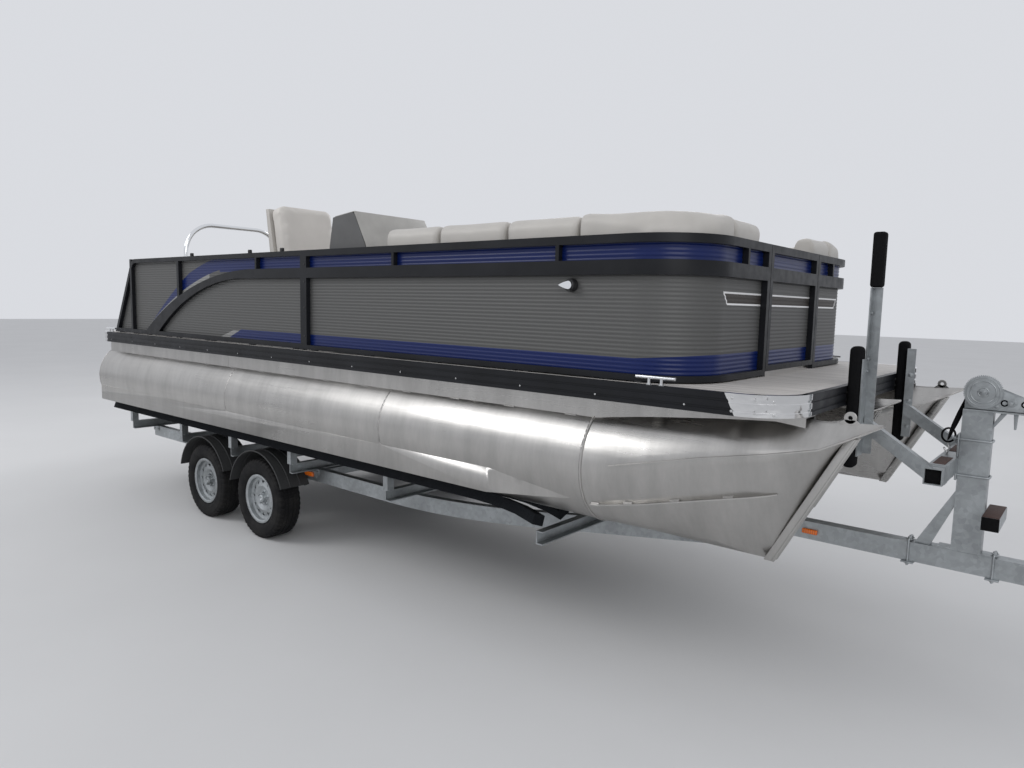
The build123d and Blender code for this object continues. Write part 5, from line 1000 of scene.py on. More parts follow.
def fence_depth(x, y):
    """How far inside the fence's outer face a place at the bow is, and the way out from it."""
    corner_x, corner_y = sx(FENCE_FORE - FENCE_R), FENCE_HALF - FENCE_R
    side = 1 if y > 0 else -1
    along, across = x - corner_x, abs(y) - corner_y
    if along > 0 and across > 0:
        reach = math.hypot(along, across)
        return FENCE_R - reach, Vector((along / reach, side * across / reach, 0.0))
    if along > across:
        return FENCE_R - along, Vector((1.0, 0.0, 0.0))
    return FENCE_R - across, Vector((0.0, side, 0.0))


def roll_top(cover):
    """Rounds the top of a bow lounge's back across its depth, leaving its seams upright."""
    low, high = corners_of(cover)
    if high.z < BACK_TOP - 0.03 or low.x < sx(4.0):
        return
    middle, half = (BACK_DEPTHS[0] + BACK_DEPTHS[1]) / 2, (BACK_DEPTHS[1] - BACK_DEPTHS[0]) / 2
    for vertex in cover.data.vertices:
        share = min(max((vertex.co.z - (high.z - half)) / half, 0.0), 0.97)
        depth, outward = fence_depth(vertex.co.x, vertex.co.y)
        if share > 0 and BACK_DEPTHS[0] - 0.01 < depth < BACK_DEPTHS[1] + 0.01:
            wanted = middle + (depth - middle) * math.sqrt(1 - share ** 2)
            vertex.co += outward * (depth - wanted)


def free_sides(cover):
    """How far a lounge cover may grow: up, and towards the cockpit across its thinner way."""
    low, high = corners_of(cover)
    size, middle = high - low, (low + high) / 2
    grow_low, grow_high = Vector((0, 0, 0)), Vector((0, 0, PAD_GROWTH))
    axis = 1 if size.x >= size.y else 0
    inward = middle.y > 0 if axis == 1 else middle.x > sx(3.4)
    (grow_low if inward else grow_high)[axis] = PAD_GROWTH * 0.8
    return grow_low, grow_high


class BOAT_OT_upholstery(bpy.types.Operator):
    """Makes the lounges' and the chair's padded covers"""
    bl_idname = "boat.upholstery"
    bl_label = "Upholstery"

    def execute(self, context):
        for node in ("cushions_starboard", "cushions_stern"):
            covers = loose_parts(solid_copy(node + "_cover", node))
            covers.sort(key=lambda cover: tuple(round(value, 3) for value in corners_of(cover)[0]))
            blow_up([(cover, *free_sides(cover)) for cover in covers], LOUNGE_VOXEL, 2)
            for index, cover in enumerate(covers):
                sides = [(cover, node)]
                if node == "cushions_starboard":
                    sides.append((mirrored_copy(cover), "cushions_port"))
                for pad, stands_for in sides:
                    pad.name = pad.data.name = f"{stands_for}_{index + 1}"
                    place(pad, HULL, "lounge_vinyl", smooth=60)
                    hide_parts(stands_for)
        shell = solid_copy("chair_shell_rounded", "chair_shell")
        modify(shell, "BEVEL", width=0.022, segments=4, limit_method="ANGLE", angle_limit=math.radians(40))
        place(shell, "chair", "chair_frame", smooth=50, node="chair_shell")
        covers = loose_parts(solid_copy("chair_cover", "chair_cushions"))
        for cover in covers:
            modify(
                cover, "BEVEL", width=0.045, segments=5, limit_method="ANGLE", angle_limit=math.radians(40))
        up = Vector((0, 0, PAD_GROWTH * 0.5))
        blow_up([(cover, Vector((0, 0, 0)), up) for cover in covers], CHAIR_VOXEL, 6)
        for index, cover in enumerate(covers):
            cover.name = cover.data.name = f"chair_cushion_{index + 1}"
            place(cover, "chair", "chair_vinyl", smooth=60)
            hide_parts("chair_cushions")
        return {"FINISHED"}


# Wheels and fenders

FRONT_AXLE = 2.771
REAR_AXLE = 1.922
WHEELS = (
    ("front_starboard", FRONT_AXLE, -1), ("front_port", FRONT_AXLE, 1), ("rear_starboard", REAR_AXLE, -1),
    ("rear_port", REAR_AXLE, 1))
WHEEL_Z = 0.318
TYRE_MID = 1.0875
PITCHES = 46
HALF_TYRE = (                 # out from the middle of the tread, radius
    (0.0000, 0.3180), (0.0165, 0.3180), (0.0182, 0.3115), (0.0236, 0.3115), (0.0255, 0.3180),
    (0.0470, 0.3177), (0.0488, 0.3112), (0.0545, 0.3110), (0.0565, 0.3172), (0.0760, 0.3166),
    (0.0860, 0.3130), (0.0920, 0.3060), (0.0950, 0.2960), (0.0990, 0.2850), (0.1000, 0.2840),
    (0.1016, 0.2700), (0.1025, 0.2520), (0.1012, 0.2400), (0.1024, 0.2385), (0.1016, 0.2355),
    (0.0985, 0.2240), (0.0900, 0.2090), (0.0800, 0.2015), (0.0740, 0.2000), (0.0740, 0.1780),
)
LUG_CIRCLE = 0.050
LUG_ROWS = (                  # name, inner and outer end, radius, sides, bevel, radius at the outer end
    ("lug_seat", 0.036, 0.043, 0.0145, 24, 0.001, 0.011),
    ("lug_nut", 0.040, 0.061, 0.0105, 6, 0.0015, None),
    ("lug_stud", 0.058, 0.066, 0.0058, 12, 0.0006, None),
)


def treaded_tyre(name, centre, side):
    """A tyre whose shoulder blocks are staggered from side to side."""
    x, y, z = centre
    profile = [(-out, radius) for out, radius in reversed(HALF_TYRE[1:])] + list(HALF_TYRE)
    rings = []
    for pitch in range(PITCHES):
        for phase, raised in ((0.00, 0), (0.04, 1), (0.46, 1), (0.50, 0), (0.52, 2), (0.96, 2)):
            angle = 2 * math.pi * (pitch + phase) / PITCHES
            ring = []
            for out, radius in profile:
                wide = abs(out)
                if 0.056 < wide < 0.0975 and radius > 0.29:
                    high = raised == (1 if out > 0 else 2)
                    radius -= 0.0 if high else 0.0058
                elif wide < 0.0475 and radius > 0.3155 and raised == 0:
                    radius -= 0.0035
                ring.append((x + radius * math.cos(angle), y + side * out, z + radius * math.sin(angle)))
            rings.append(ring)
    return loft(name, rings, closed_path=True)


def round_band(name, centre, radius, thick, steps=64, sides=8):
    """A bead round a line along Y."""
    clear_selection()
    bpy.ops.mesh.primitive_torus_add(location=centre, rotation=(math.pi / 2, 0, 0), major_radius=radius,
                                     minor_radius=thick, major_segments=steps, minor_segments=sides)
    return settle(name)


class BOAT_OT_wheels(bpy.types.Operator):
    """Models the treaded tyres, and the lug nuts, caps, beads and valves of the rims"""
    bl_idname = "boat.wheels"
    bl_label = "Wheels"

    def execute(self, context):
        for name, station, side in WHEELS:
            centre = (sx(station), side * TYRE_MID, WHEEL_Z)
            at = lambda radius, angle, out: (centre[0] + radius * math.cos(angle), side * (TYRE_MID + out),
                                             WHEEL_Z + radius * math.sin(angle))
            tyre = treaded_tyre("treaded_tyre_" + name, centre, side)
            place(tyre, "wheel_" + name, "tyre_black", node="tyre_" + name)
            parts = [
                round_band("rim_bead", (centre[0], side * (TYRE_MID + 0.080), WHEEL_Z), 0.1905, 0.0045),
                round_band("hub_collar", (centre[0], side * (TYRE_MID + 0.040), WHEEL_Z), 0.0345, 0.003, 40),
                round_band("cap_ring", (centre[0], side * (TYRE_MID + 0.066), WHEEL_Z), 0.0275, 0.002, 40)]
            for index in range(5):
                angle = math.radians(18 + 72 * index)
                for part, low, high, *shape in LUG_ROWS:
                    parts.append(rod(part, at(LUG_CIRCLE, angle, low), at(LUG_CIRCLE, angle, high), *shape))
            for index in range(12):
                parts.append(round_band(
                    "vent_edge", at(0.132, math.radians(30 * index), 0.0478), 0.014, 0.0018, 24, 6))
            trim = join("rim_trim_" + name, *parts)
            place(trim, "wheel_" + name, "galvanised")
            valve = join(
                "valve_" + name,
                rod("stem", at(0.160, 1.2, 0.046), at(0.163, 1.2, 0.078), 0.0042, 12, 0.001),
                rod("valve_cap", at(0.163, 1.2, 0.076), at(0.164, 1.2, 0.088), 0.0052, 12, 0.001))
            place(valve, "wheel_" + name, "pad_black")
        return {"FINISHED"}


class BOAT_OT_fenders(bpy.types.Operator):
    """Adds the fenders' pressed ridges, rolled lips and bolts, and the trailer's side lamps"""
    bl_idname = "boat.fenders"
    bl_label = "Fender trim"

    def execute(self, context):
        parts = []
        for side in (-1, 1):
            for station in (REAR_AXLE, FRONT_AXLE):
                for y, radius, thick in (
                        (1.030, 0.3895, 0.0060), (1.120, 0.3895, 0.0060), (1.2035, 0.3915, 0.0050)):
                    rings = []
                    for step in range(37):
                        angle = math.radians(23 + 142 * step / 36)
                        rings.append([
                            (sx(station) + (radius + thick * math.cos(turn)) * math.cos(angle),
                             side * y + thick * math.sin(turn),
                             WHEEL_Z + (radius + thick * math.cos(turn)) * math.sin(angle))
                            for turn in turns(8)])
                    parts.append(loft("ridge", rings))
                for high in (0.560, 0.600, 0.640):
                    for along in (-0.018, 0.018):
                        parts.append(hexagon_bolt(
                            "bracket_bolt", (sx(station) + along, side * 0.956, high), (0, side, 0), 0.016,
                            0.007))
        trim = join("fender_trim", *parts)
        place(trim, HULL, "fender_grey")
        lamps = []
        brackets = []
        for side in (-1, 1):
            brackets.append(block("lamp_bracket", (sx(3.033), sx(3.226)), on_side(side, 0.9405, 0.946),
                                  (0.522, 0.575), 0.002))
            lamps.append(block(
                "side_lamp", (sx(3.075), sx(3.19)), on_side(side, 0.945, 0.962), (0.531, 0.566), 0.006, 3))
            lamps.append(block(
                "tongue_lamp", (sx(6.618), sx(6.703)), on_side(side, 0.0403, 0.055), (0.640, 0.668), 0.006,
                3))
        lamp = join("marker_lamps", *lamps)
        place(lamp, HULL, None, "amber_lens")
        plate = join("lamp_brackets", *brackets)
        place(plate, HULL, "galvanised")
        return {"FINISHED"}


# Winch and the trailer's head

POST_X = (7.350, 7.480)
POST_TOP = 1.430
GEAR_STATION = 7.430
GEAR_Z = 1.526
TONGUE_TOP = 0.709


def u_bolt(name, points, radius, nut_axis):
    """A bent rod with a nut and washer near each end."""
    parts = [bent_tube(name, points, radius, 12)]
    for end in (points[0], points[-1]):
        inward = Vector(nut_axis)
        parts.append(hexagon_bolt(name + "_nut", Vector(end) + inward * 0.018, -inward, 0.019, 0.011))
    return join(name, *parts)


def plate_of(name, outline, y, bevel=0.0015):
    """A plate of one outline in (x, z), across the span y."""
    item = loft(name, [[(x, level, z) for x, z in outline] for level in y])
    return modify(item, "BEVEL", width=bevel, segments=2, limit_method="ANGLE", angle_limit=math.radians(40))


def round_corner(centre, radius, first, last, steps=10):
    return [
        (centre[0] + radius * math.cos(math.radians(first + (last - first) * step / steps)),
         centre[1] + radius * math.sin(math.radians(first + (last - first) * step / steps)))
        for step in range(steps + 1)]


class BOAT_OT_winch(bpy.types.Operator):
    """Models the winch: toothed gear, side plates, drum, webbing and hook"""
    bl_idname = "boat.winch"
    bl_label = "Winch"

    def execute(self, context):
        gear_x, base = sx(GEAR_STATION), POST_TOP + 0.0083
        x0, x1 = sx(POST_X[0]), sx(POST_X[1])
        parts = []
        outline = []
        for tooth in range(60):
            for share, radius in ((0.0, 0.0800), (0.30, 0.0800), (0.45, 0.0848), (0.78, 0.0848)):
                angle = 2 * math.pi * (tooth + share) / 60
                outline.append((gear_x + radius * math.cos(angle), GEAR_Z + radius * math.sin(angle)))
        parts.append(loft("gear", [[(x, y, z) for x, z in outline] for y in (-0.0490, -0.0440)]))
        for radius, thick in ((0.070, 0.0022), (0.054, 0.0028), (0.022, 0.0030)):
            parts.append(round_band("gear_ring", (gear_x, -0.0490, GEAR_Z), radius, thick))
        parts.append(pin("gear_shaft", gear_x, (-0.060, 0.052), GEAR_Z, 0.010, 24, 0.001))
        for y, way in ((-0.049, -1), (0.042, 1)):
            parts.append(hexagon_bolt("shaft_nut", (gear_x, y, GEAR_Z), (0, way, 0), 0.022, 0.010))
        pinion = (x1 + 0.070, base + 0.046)
        outline = [(x0 + 0.006, base), (x1 + 0.150, base), (x1 + 0.150, base + 0.030)]
        outline += round_corner((pinion[0] + 0.020, pinion[1]), 0.030, 20, 80)
        outline += round_corner((gear_x, GEAR_Z), 0.042, 62, 150)
        outline += [(x0 + 0.006, base + 0.060)]
        for y in ((-0.042, -0.038), (0.038, 0.042)):
            parts.append(plate_of("side_plate", outline, y, 0.001))
        parts.append(block(
            "winch_base", (x0 + 0.006, x1 + 0.150), (-0.042, 0.042), (base, base + 0.004), 0.001))
        parts.append(pin("pinion_shaft", pinion[0], (-0.102, 0.048), pinion[1], 0.009, 20, 0.001))
        parts.append(pin("pinion", pinion[0], (-0.050, -0.042), pinion[1], 0.019, 16, 0.001))
        for x in (x0 + 0.030, x0 + 0.100, x1 + 0.120):
            parts.append(hexagon_bolt("base_bolt", (x, -0.030, base + 0.004), (0, 0, 1), 0.016, 0.007))
        for x, z in ((x0 + 0.028, base + 0.030), (x1 + 0.010, base + 0.022), (x1 + 0.128, base + 0.016)):
            parts.append(hexagon_bolt("plate_bolt", (x, -0.042, z), (0, -1, 0), 0.012, 0.005))
        frame_piece = join("winch_frame", *parts)
        place(frame_piece, HULL, "galvanised", node="winch")
        # holes' rubber rings, wound webbing, the run of webbing down to its hook
        rings = [round_band("plate_ring", (pinion[0] + along, -0.0425, pinion[1] - 0.004), 0.013, 0.0035, 32)
                 for along in (-0.030, 0.052)]
        rings.append(pin("drum", gear_x, (-0.034, 0.034), GEAR_Z, 0.064, 48, 0.004))
        for radius in (0.0655, 0.0660):
            rings.append(pin("wound_webbing", gear_x, (-0.030, 0.030), GEAR_Z, radius, 48, 0.003))
        hook_x, hook_z = sx(7.293), 1.236
        sections = []
        for step in range(21):
            share = step / 20
            x = gear_x - 0.066 + (hook_x - gear_x + 0.066) * share
            z = GEAR_Z - 0.010 + (hook_z + 0.030 - GEAR_Z + 0.010) * share
            gather = math.sin(math.pi * share) ** 0.7
            wide = 0.025 - 0.010 * gather + 0.002 * math.sin(9 * share)
            thick = 0.0030 + 0.0100 * gather
            sections.append([
                (x + thick * math.cos(turn) * (1 + 0.25 * math.sin(3 * turn + 5 * share)),
                 wide * math.sin(turn), z + 0.3 * thick * math.cos(turn))
                for turn in turns(20)])
        rings.append(loft("webbing", sections))
        loop = [
            (hook_x + 0.030 * math.cos(turn), 0.010 * math.sin(turn),
             hook_z + 0.055 + 0.034 * math.sin(turn))
            for turn in turns(20)]
        rings.append(bent_tube("webbing_loop", loop, 0.005, 8, True))
        webbing = join("winch_webbing", *rings)
        place(webbing, HULL, "pad_black")
        hook = [
            (hook_x, 0.0, hook_z + 0.024), (hook_x, 0.0, hook_z + 0.004),
            (hook_x + 0.012, 0.0, hook_z - 0.012), (hook_x + 0.004, 0.0, hook_z - 0.030),
            (hook_x - 0.012, 0.0, hook_z - 0.026), (hook_x - 0.016, 0.0, hook_z - 0.010)]
        eye = [(hook_x, 0.012 * math.cos(turn), hook_z - 0.034 + 0.012 * math.sin(turn))
               for turn in turns(16)]
        hook = join(
            "winch_hook", bent_tube("hook", hook, 0.0045, 10), bent_tube("hook_eye", eye, 0.004, 8, True))
        place(hook, HULL, "bright_steel")
        return {"FINISHED"}


class BOAT_OT_trailer_trim(bpy.types.Operator):
    """Adds the trailer's U-bolts, clamp plates, brackets, treads and bolts"""
    bl_idname = "boat.trailer_trim"
    bl_label = "Trailer trim"

    def execute(self, context):
        x0, x1 = sx(POST_X[0]), sx(POST_X[1])
        parts = []
        for z in (1.283, 1.102):
            parts.append(u_bolt(
                "post_u_bolt",
                [(x0 - 0.034, -0.045, z), (x1 - 0.004, -0.045, z), (x1 + 0.006, -0.036, z),
                 (x1 + 0.006, 0.036, z), (x1 - 0.004, 0.045, z), (x0 - 0.034, 0.045, z)],
                0.0055, (1, 0, 0)))
        for z in ((1.1930, 1.312), (1.0750, 1.1115)):
            parts.append(block("clamp_plate", (x0 - 0.009, x0 - 0.0005), (-0.062, 0.062), z, 0.002))
        # bands round the cross tube by the post
        for y in (-0.385, -0.345, 0.385, 0.345):
            for z in (1.1105, 1.1920):
                parts.append(block(
                    "tube_band", (sx(7.2685), sx(7.3495)), (y - 0.013, y + 0.013), (z - 0.0005, z + 0.0025),
                    0.0005, 1))
            for x in (sx(7.2672), sx(7.3497)):
                parts.append(block(
                    "tube_band", (x, x + 0.0020), (y - 0.013, y + 0.013), (1.1105, 1.1940), 0.0005, 1))
        for station in (7.162, 7.537):
            x = sx(station)
            parts.append(u_bolt(
                "tongue_u_bolt",
                [(x, -0.047, 0.585), (x, -0.047, TONGUE_TOP + 0.010), (x, -0.038, TONGUE_TOP + 0.019),
                 (x, 0.038, TONGUE_TOP + 0.019), (x, 0.047, TONGUE_TOP + 0.010), (x, 0.047, 0.585)],
                0.0055, (0, 0, 1)))
            parts.append(block(
                "u_bolt_plate", (x - 0.030, x + 0.030), (-0.060, 0.060), (0.598, 0.6065), 0.002))
            for y in (-0.020, 0.020):
                parts.append(hexagon_bolt("top_nut", (x, y, TONGUE_TOP + 0.009), (0, 0, 1), 0.019, 0.012))
        # brace below the winch plate, and its hanging tab
        parts.append(plate_of(
            "plate_brace", [(x1, 1.372), (x1 + 0.030, 1.430), (x1 + 0.055, 1.430), (x1, 1.348)],
            (-0.024, 0.024)))
        parts.append(plate_of(
            "hanging_tab",
            [(x1 + 0.078, 1.430), (x1 + 0.098, 1.430), (x1 + 0.094, 1.352), (x1 + 0.084, 1.352)],
            (-0.008, -0.003)))
        # bolts through the stops' arms and plates
        post_aft = sx(6.9906)
        for side in (-1, 1):
            for z in (1.30, 1.36, 1.62, 1.68):
                parts.append(hexagon_bolt(
                    "stop_bolt", (post_aft + 0.006, side * 0.462, z), (1, 0, 0), 0.016, 0.007))
            for z in (1.25, 1.40, 1.55):
                parts.append(hexagon_bolt(
                    "stop_bolt", (post_aft + 0.026, side * 0.430, z), (0, -side, 0), 0.016, 0.007))
        parts.append(hexagon_bolt(
            "tall_post_bolt", (post_aft + 0.006, -0.455, 1.90), (1, 0, 0), 0.016, 0.007))
        # bolts and gussets where the cross members sit on the rails
        for station in (0.480, 1.500, 2.346, 3.200):
            for side in (-1, 1):
                for along in (-0.034, 0.034):
                    parts.append(hexagon_bolt(
                        "rail_bolt", (sx(station) + along, side * 0.9405, 0.572), (0, side, 0), 0.018,
                        0.008))
                parts.append(block(
                    "rail_gusset", (sx(station) - 0.055, sx(station) + 0.055), on_side(side, 0.9402, 0.9452),
                    (0.550, 0.5985), 0.002))
        pads = [
            block(
                "stop_pad", (sx(6.9303), sx(6.9903)), on_side(side, 0.461, 0.539), (1.150, 1.740), 0.024, 6)
            for side in (-1, 1)]
        pads.append(block(
            "post_sleeve", (post_aft - 0.006, post_aft + 0.050), (-0.484, -0.426), (2.0205, 2.2803), 0.013,
            5))
        pads = join("rounded_pads", *pads)
        place(pads, HULL, "pad_black", smooth=50, node="bow_stop_pads")
        trim = join("trailer_trim", *parts)
        place(trim, HULL, "galvanised")
        # tread on the step and on the cross tube, and end caps
        tread = join(
            "step_treads",
            block(
                "tread", (x1 + 0.002, x1 + 0.074), (-0.148, 0.148),
                (TONGUE_TOP + 0.2245, TONGUE_TOP + 0.2275), 0.001),
            block("tread", (sx(7.283), sx(7.336)), (-0.330, -0.100), (1.1915, 1.1945), 0.001),
            block("tread", (sx(7.283), sx(7.336)), (0.100, 0.330), (1.1915, 1.1945), 0.001))
        place(tread, HULL, None, "step_tread")
        caps = [block("step_cap", (x1 + 0.001, x1 + 0.0755), on_side(side, 0.149, 0.1535),
                      (TONGUE_TOP + 0.1600, TONGUE_TOP + 0.2250), 0.002) for side in (-1, 1)]
        caps += [
            block("tube_plug", (sx(7.2758), sx(7.3438)), on_side(side, 0.420, 0.436), (1.118, 1.186), 0.001)
            for side in (-1, 1)]
        caps = join("end_caps", *caps)
        place(caps, HULL, "pad_black")
        return {"FINISHED"}


# Fittings of the boat

GAUGES = ((-0.735, 0.040), (-0.840, 0.052), (-0.945, 0.040))      # place across the dash, radius
LAMP_STATION = 5.781
LAMP_Z = DECK_TOP + 0.456
COWL_SEAM = (1.626, 1.636)   # lower and upper edge of the cowl's seam


class BOAT_OT_fittings(bpy.types.Operator):
    """Adds latches, collars, lamp bezels, screws, the helm's dash and the cowl's seam"""
    bl_idname = "boat.fittings"
    bl_label = "Fittings"

    def execute(self, context):
        parts = []
        # collars on the arch's legs, at the deck and level with the top rail
        for side in (-1, 1):
            for low, high, radius in (
                    (DECK_TOP + 0.001, DECK_TOP + 0.060, 0.036), (FENCE_TOP, FENCE_TOP + 0.045, 0.028)):
                parts.append(rod(
                    "arch_collar", (sx(0.400), side * 0.550, low), (sx(0.400), side * 0.550, high), radius,
                    32, 0.003))
            for station in (1.882, 2.790, 3.222):
                parts.append(block(
                    "rail_latch", (sx(station) - 0.016, sx(station) + 0.016), on_side(side, 1.236, 1.216),
                    (FENCE_TOP - 0.002, FENCE_TOP + 0.026), 0.004))
                parts.append(pin(
                    "latch_pin", sx(station), (side * 1.238, side * 1.214), FENCE_TOP + 0.017, 0.009, 20,
                    0.002))
            # lamp bezel round the docking light's fore end
            parts.append(turned(
                "lamp_bezel", (sx(LAMP_STATION), side * 1.2110, LAMP_Z), side,
                ((0.000, 0.022), (0.000, 0.034), (0.030, 0.032), (0.036, 0.029), (0.034, 0.024),
                 (0.028, 0.022)),
                40))
            # feet of the fence
            for index in range(9):
                x = sx(0.75 + 0.68 * index)
                parts.append(block("fence_foot", (x - 0.020, x + 0.020), on_side(side, 1.206, 1.238),
                                   (DECK_TOP - 0.0005, DECK_TOP + 0.008), 0.001, 1))
            x = sx(JOINT_STATION) + 0.012
            for z in (DECK_TOP + high for high in (0.10, 0.30, 0.48, 0.60)):
                parts.append(pin("post_screw", x, (side * 1.2415, side * 1.2445), z, 0.0065, 16, 0.001))
        trim = join("black_fittings", *parts)
        place(trim, HULL, "pad_black", "wheel_grip")
        # screws of the corner castings and rub rails, and the lamps' lenses
        screws = []
        for side in (-1, 1):
            for z in (RISER_TOP + 0.020, RISER_TOP + 0.075):
                for station in (6.680, 6.780, 6.860):
                    screws.append(pin(
                        "casting_screw", sx(station), (side * 1.2945, side * 1.2975), z, 0.006, 16, 0.001))
            for index in range(14):
                x = sx(0.35 + 0.47 * index)
                screws.append(pin(
                    "rub_screw", x, (side * 1.2900, side * 1.2925), RISER_TOP + 0.0255, 0.005, 12, 0.001))
            lens = (sx(LAMP_STATION), side * 1.2450, LAMP_Z)
            screws.append(rod("lamp_lens", (lens[0], side * 1.2150, lens[2]), lens, 0.0222, 32, 0.003))
        screws = join("screws_and_lenses", *screws)
        place(screws, HULL, "bright_steel")
        # helm: pale hood over the fore slope, dark dash with gauges, screen, switches and throttle
        x0 = sx(3.700)
        slope = Vector((0.055, 0.0, 0.274)).normalized()
        out = Vector((-0.274, 0.0, 0.055)).normalized()
        foot = Vector((x0 - 0.010, 0.0, DECK_TOP + 0.640))
        on_dash = lambda up, y, proud: foot + slope * up + out * proud + Vector((0.0, y, 0.0))
        dark = []
        for y, radius in GAUGES:
            start, end = on_dash(0.205, y, -0.002), on_dash(0.205, y, 0.010)
            dark.append(rod("gauge", start, end, radius, 40, 0.003))
        dark.append(join(
            "screen",
            *[
                rod(
                    "screen_corner", on_dash(0.155 + up, y, -0.002), on_dash(0.155 + up, y, 0.008), 0.012,
                    20, 0.002)
                for up in (0.0, 0.09) for y in (-0.60, -0.66)]))
        for index in range(6):
            y = -1.020 - 0.022 * index
            dark.append(rod("switch", on_dash(0.120, y, -0.002), on_dash(0.120, y, 0.012), 0.007, 12, 0.002))
        lever = [
            (x0 + 0.020, -0.575, DECK_TOP + 0.760), (x0 - 0.020, -0.575, DECK_TOP + 0.840),
            (x0 - 0.034, -0.575, DECK_TOP + 0.905)]
        dark.append(bent_tube("throttle_lever", lever, 0.009, 12))
        dark.append(pin("throttle_knob", x0 - 0.034, (-0.605, -0.545), DECK_TOP + 0.905, 0.016, 24, 0.005))
        dark.append(pin("throttle_base", x0 + 0.020, (-0.545, -0.605), DECK_TOP + 0.740, 0.045, 36, 0.006))
        dash = join("dash_fittings", *dark)
        place(dash, HULL, "wheel_grip")
        rings = []
        for y, radius in GAUGES:
            clear_selection()
            bpy.ops.mesh.primitive_torus_add(
                location=on_dash(0.205, y, 0.010), rotation=out.to_track_quat("Z", "Y").to_euler(),
                major_radius=radius, minor_radius=0.0025, major_segments=48, minor_segments=8)
            rings.append(settle("gauge_ring"))
        rings = join("gauge_rings", *rings)
        place(rings, HULL, "chromed")
        hood = [
            (x0 + 0.060, DECK_TOP + 0.9175), (x0 + 0.262, DECK_TOP + 0.9405),
            (x0 + 0.380, DECK_TOP + 0.7325), (x0 + 0.4105, DECK_TOP + 0.650),
            (x0 + 0.4105, DECK_TOP + 0.300), (x0 + 0.4155, DECK_TOP + 0.300),
            (x0 + 0.4155, DECK_TOP + 0.652), (x0 + 0.386, DECK_TOP + 0.736), (x0 + 0.266, DECK_TOP + 0.9460),
            (x0 + 0.058, DECK_TOP + 0.9225)]
        cover = plate_of("console_hood", hood, (-1.160, -0.525), 0.002)
        place(cover, HULL, "lounge_shell")
        # raised seam round the engine's cowl
        seam = solid_copy("cowl_seam", "engine_cowl")
        cut(seam, (0, 0, COWL_SEAM[1]), (0, 0, 1))
        cut(seam, (0, 0, COWL_SEAM[0]), (0, 0, -1))
        low, high = corners_of(seam)
        middle = (low + high) / 2
        for vertex in seam.data.vertices:
            vertex.co.x = middle.x + (vertex.co.x - middle.x) * 1.008
            vertex.co.y = middle.y + (vertex.co.y - middle.y) * 1.010
        place(seam, "engine", "engine_black")
        return {"FINISHED"}


# Stage

CAMERA_PLACE = (4.069476, -4.226455, 1.900252)
CAMERA_AXES = (
    (0.767415, -0.086751, 0.635255),
    (0.640765, 0.069420, -0.764592),
    (0.022229, 0.993808, 0.108861),
)
FOCAL_PX = 723.254
FRAME_PX = 1024.0
SENSOR = 36.0


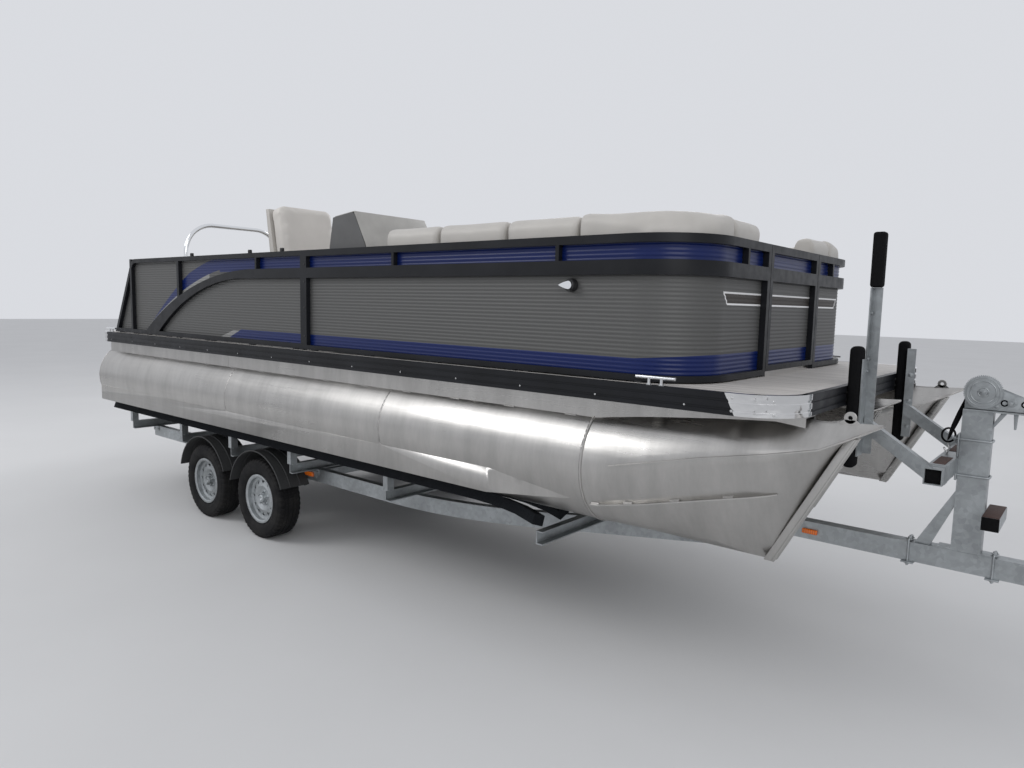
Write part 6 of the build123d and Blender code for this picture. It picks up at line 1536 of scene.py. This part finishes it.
class BOAT_OT_stage(bpy.types.Operator):
    """Adds the camera, the floor and the light"""
    bl_idname = "boat.stage"
    bl_label = "Stage"

    def execute(self, context):
        stage = context.scene.boat_stage
        clear_selection()
        camera_data = bpy.data.cameras.new("camera")
        camera_data.sensor_width = SENSOR
        camera_data.lens = FOCAL_PX / FRAME_PX * SENSOR
        camera_data.clip_end = 200.0
        camera = bpy.data.objects.new("camera", camera_data)
        context.scene.collection.objects.link(camera)
        turn = Matrix(CAMERA_AXES).to_4x4()
        camera.matrix_world = Matrix.Translation(CAMERA_PLACE) @ turn
        context.scene.camera = camera

        size = stage.floor_size
        bpy.ops.mesh.primitive_plane_add(size=size, location=(0, 0, -0.0005))
        floor = settle("floor")
        ground = Finish("floor", tuple(stage.floor_colour), roughness=0.85)
        tone = ground.noise(0.6, 4.0)
        ground.mottle(tone, 0.2, 0.8, scaled(stage.floor_colour, 0.97),
                                             scaled(stage.floor_colour, 1.03))
        floor.data.materials.append(ground.material)

        world = bpy.data.worlds.new("studio")
        world.use_nodes = True
        background = world.node_tree.nodes["Background"]
        background.inputs["Color"].default_value = (0.93, 0.95, 1.0, 1.0)
        background.inputs["Strength"].default_value = 0.75
        context.scene.world = world
        lamps = (
            ("key", (-7.0, -9.0, 9.0), (-0.5, 0.0, 1.2), 6.0, 470.0),
            ("fill", (9.0, -7.0, 6.0), (1.0, 0.0, 1.2), 6.0, 260.0),
            ("back", (-4.0, 10.0, 7.0), (0.0, 0.0, 1.5), 6.0, 320.0),
        )
        for name, place_at, target, edge, power in lamps:
            data = bpy.data.lights.new(name, "AREA")
            data.shape = "SQUARE"
            data.size = edge
            data.energy = power
            lamp = bpy.data.objects.new(name, data)
            lamp.location = place_at
            lamp.rotation_euler = (Vector(target) - Vector(place_at)).to_track_quat("-Z", "Y").to_euler()
            context.scene.collection.objects.link(lamp)
        context.scene.view_settings.view_transform = "Standard"
        return {"FINISHED"}


class BOAT_PT_panel(bpy.types.Panel):
    """Shows the colours and sizes that a user may change, and a button for each step"""
    bl_label = "Pontoon boat"
    bl_idname = "BOAT_PT_panel"
    bl_space_type = "VIEW_3D"
    bl_region_type = "UI"
    bl_category = "Boat"

    def draw(self, context):
        for settings in (context.scene.boat_finish, context.scene.boat_stage):
            for name in settings.__annotations__:
                self.layout.prop(settings, name)
        for operator in OPERATORS:
            self.layout.operator(operator.bl_idname)


OPERATORS = (BOAT_OT_stage, BOAT_OT_dress_solids, BOAT_OT_tubes, BOAT_OT_risers, BOAT_OT_sheets,
             BOAT_OT_upholstery, BOAT_OT_wheels, BOAT_OT_fenders, BOAT_OT_winch, BOAT_OT_trailer_trim,
             BOAT_OT_fittings)
CLASSES = (BoatFinishSettings, BoatStageSettings, *OPERATORS, BOAT_PT_panel)


def register():
    for item in CLASSES:
        bpy.utils.register_class(item)
    bpy.types.Scene.boat_finish = bpy.props.PointerProperty(type=BoatFinishSettings)
    bpy.types.Scene.boat_stage = bpy.props.PointerProperty(type=BoatStageSettings)


def unregister():
    del bpy.types.Scene.boat_finish
    del bpy.types.Scene.boat_stage
    for item in reversed(CLASSES):
        bpy.utils.unregister_class(item)


def main():
    register()
    for operator in OPERATORS:
        space, call = operator.bl_idname.split(".")
        getattr(getattr(bpy.ops, space), call)()


if __name__ == "__main__":
    main()
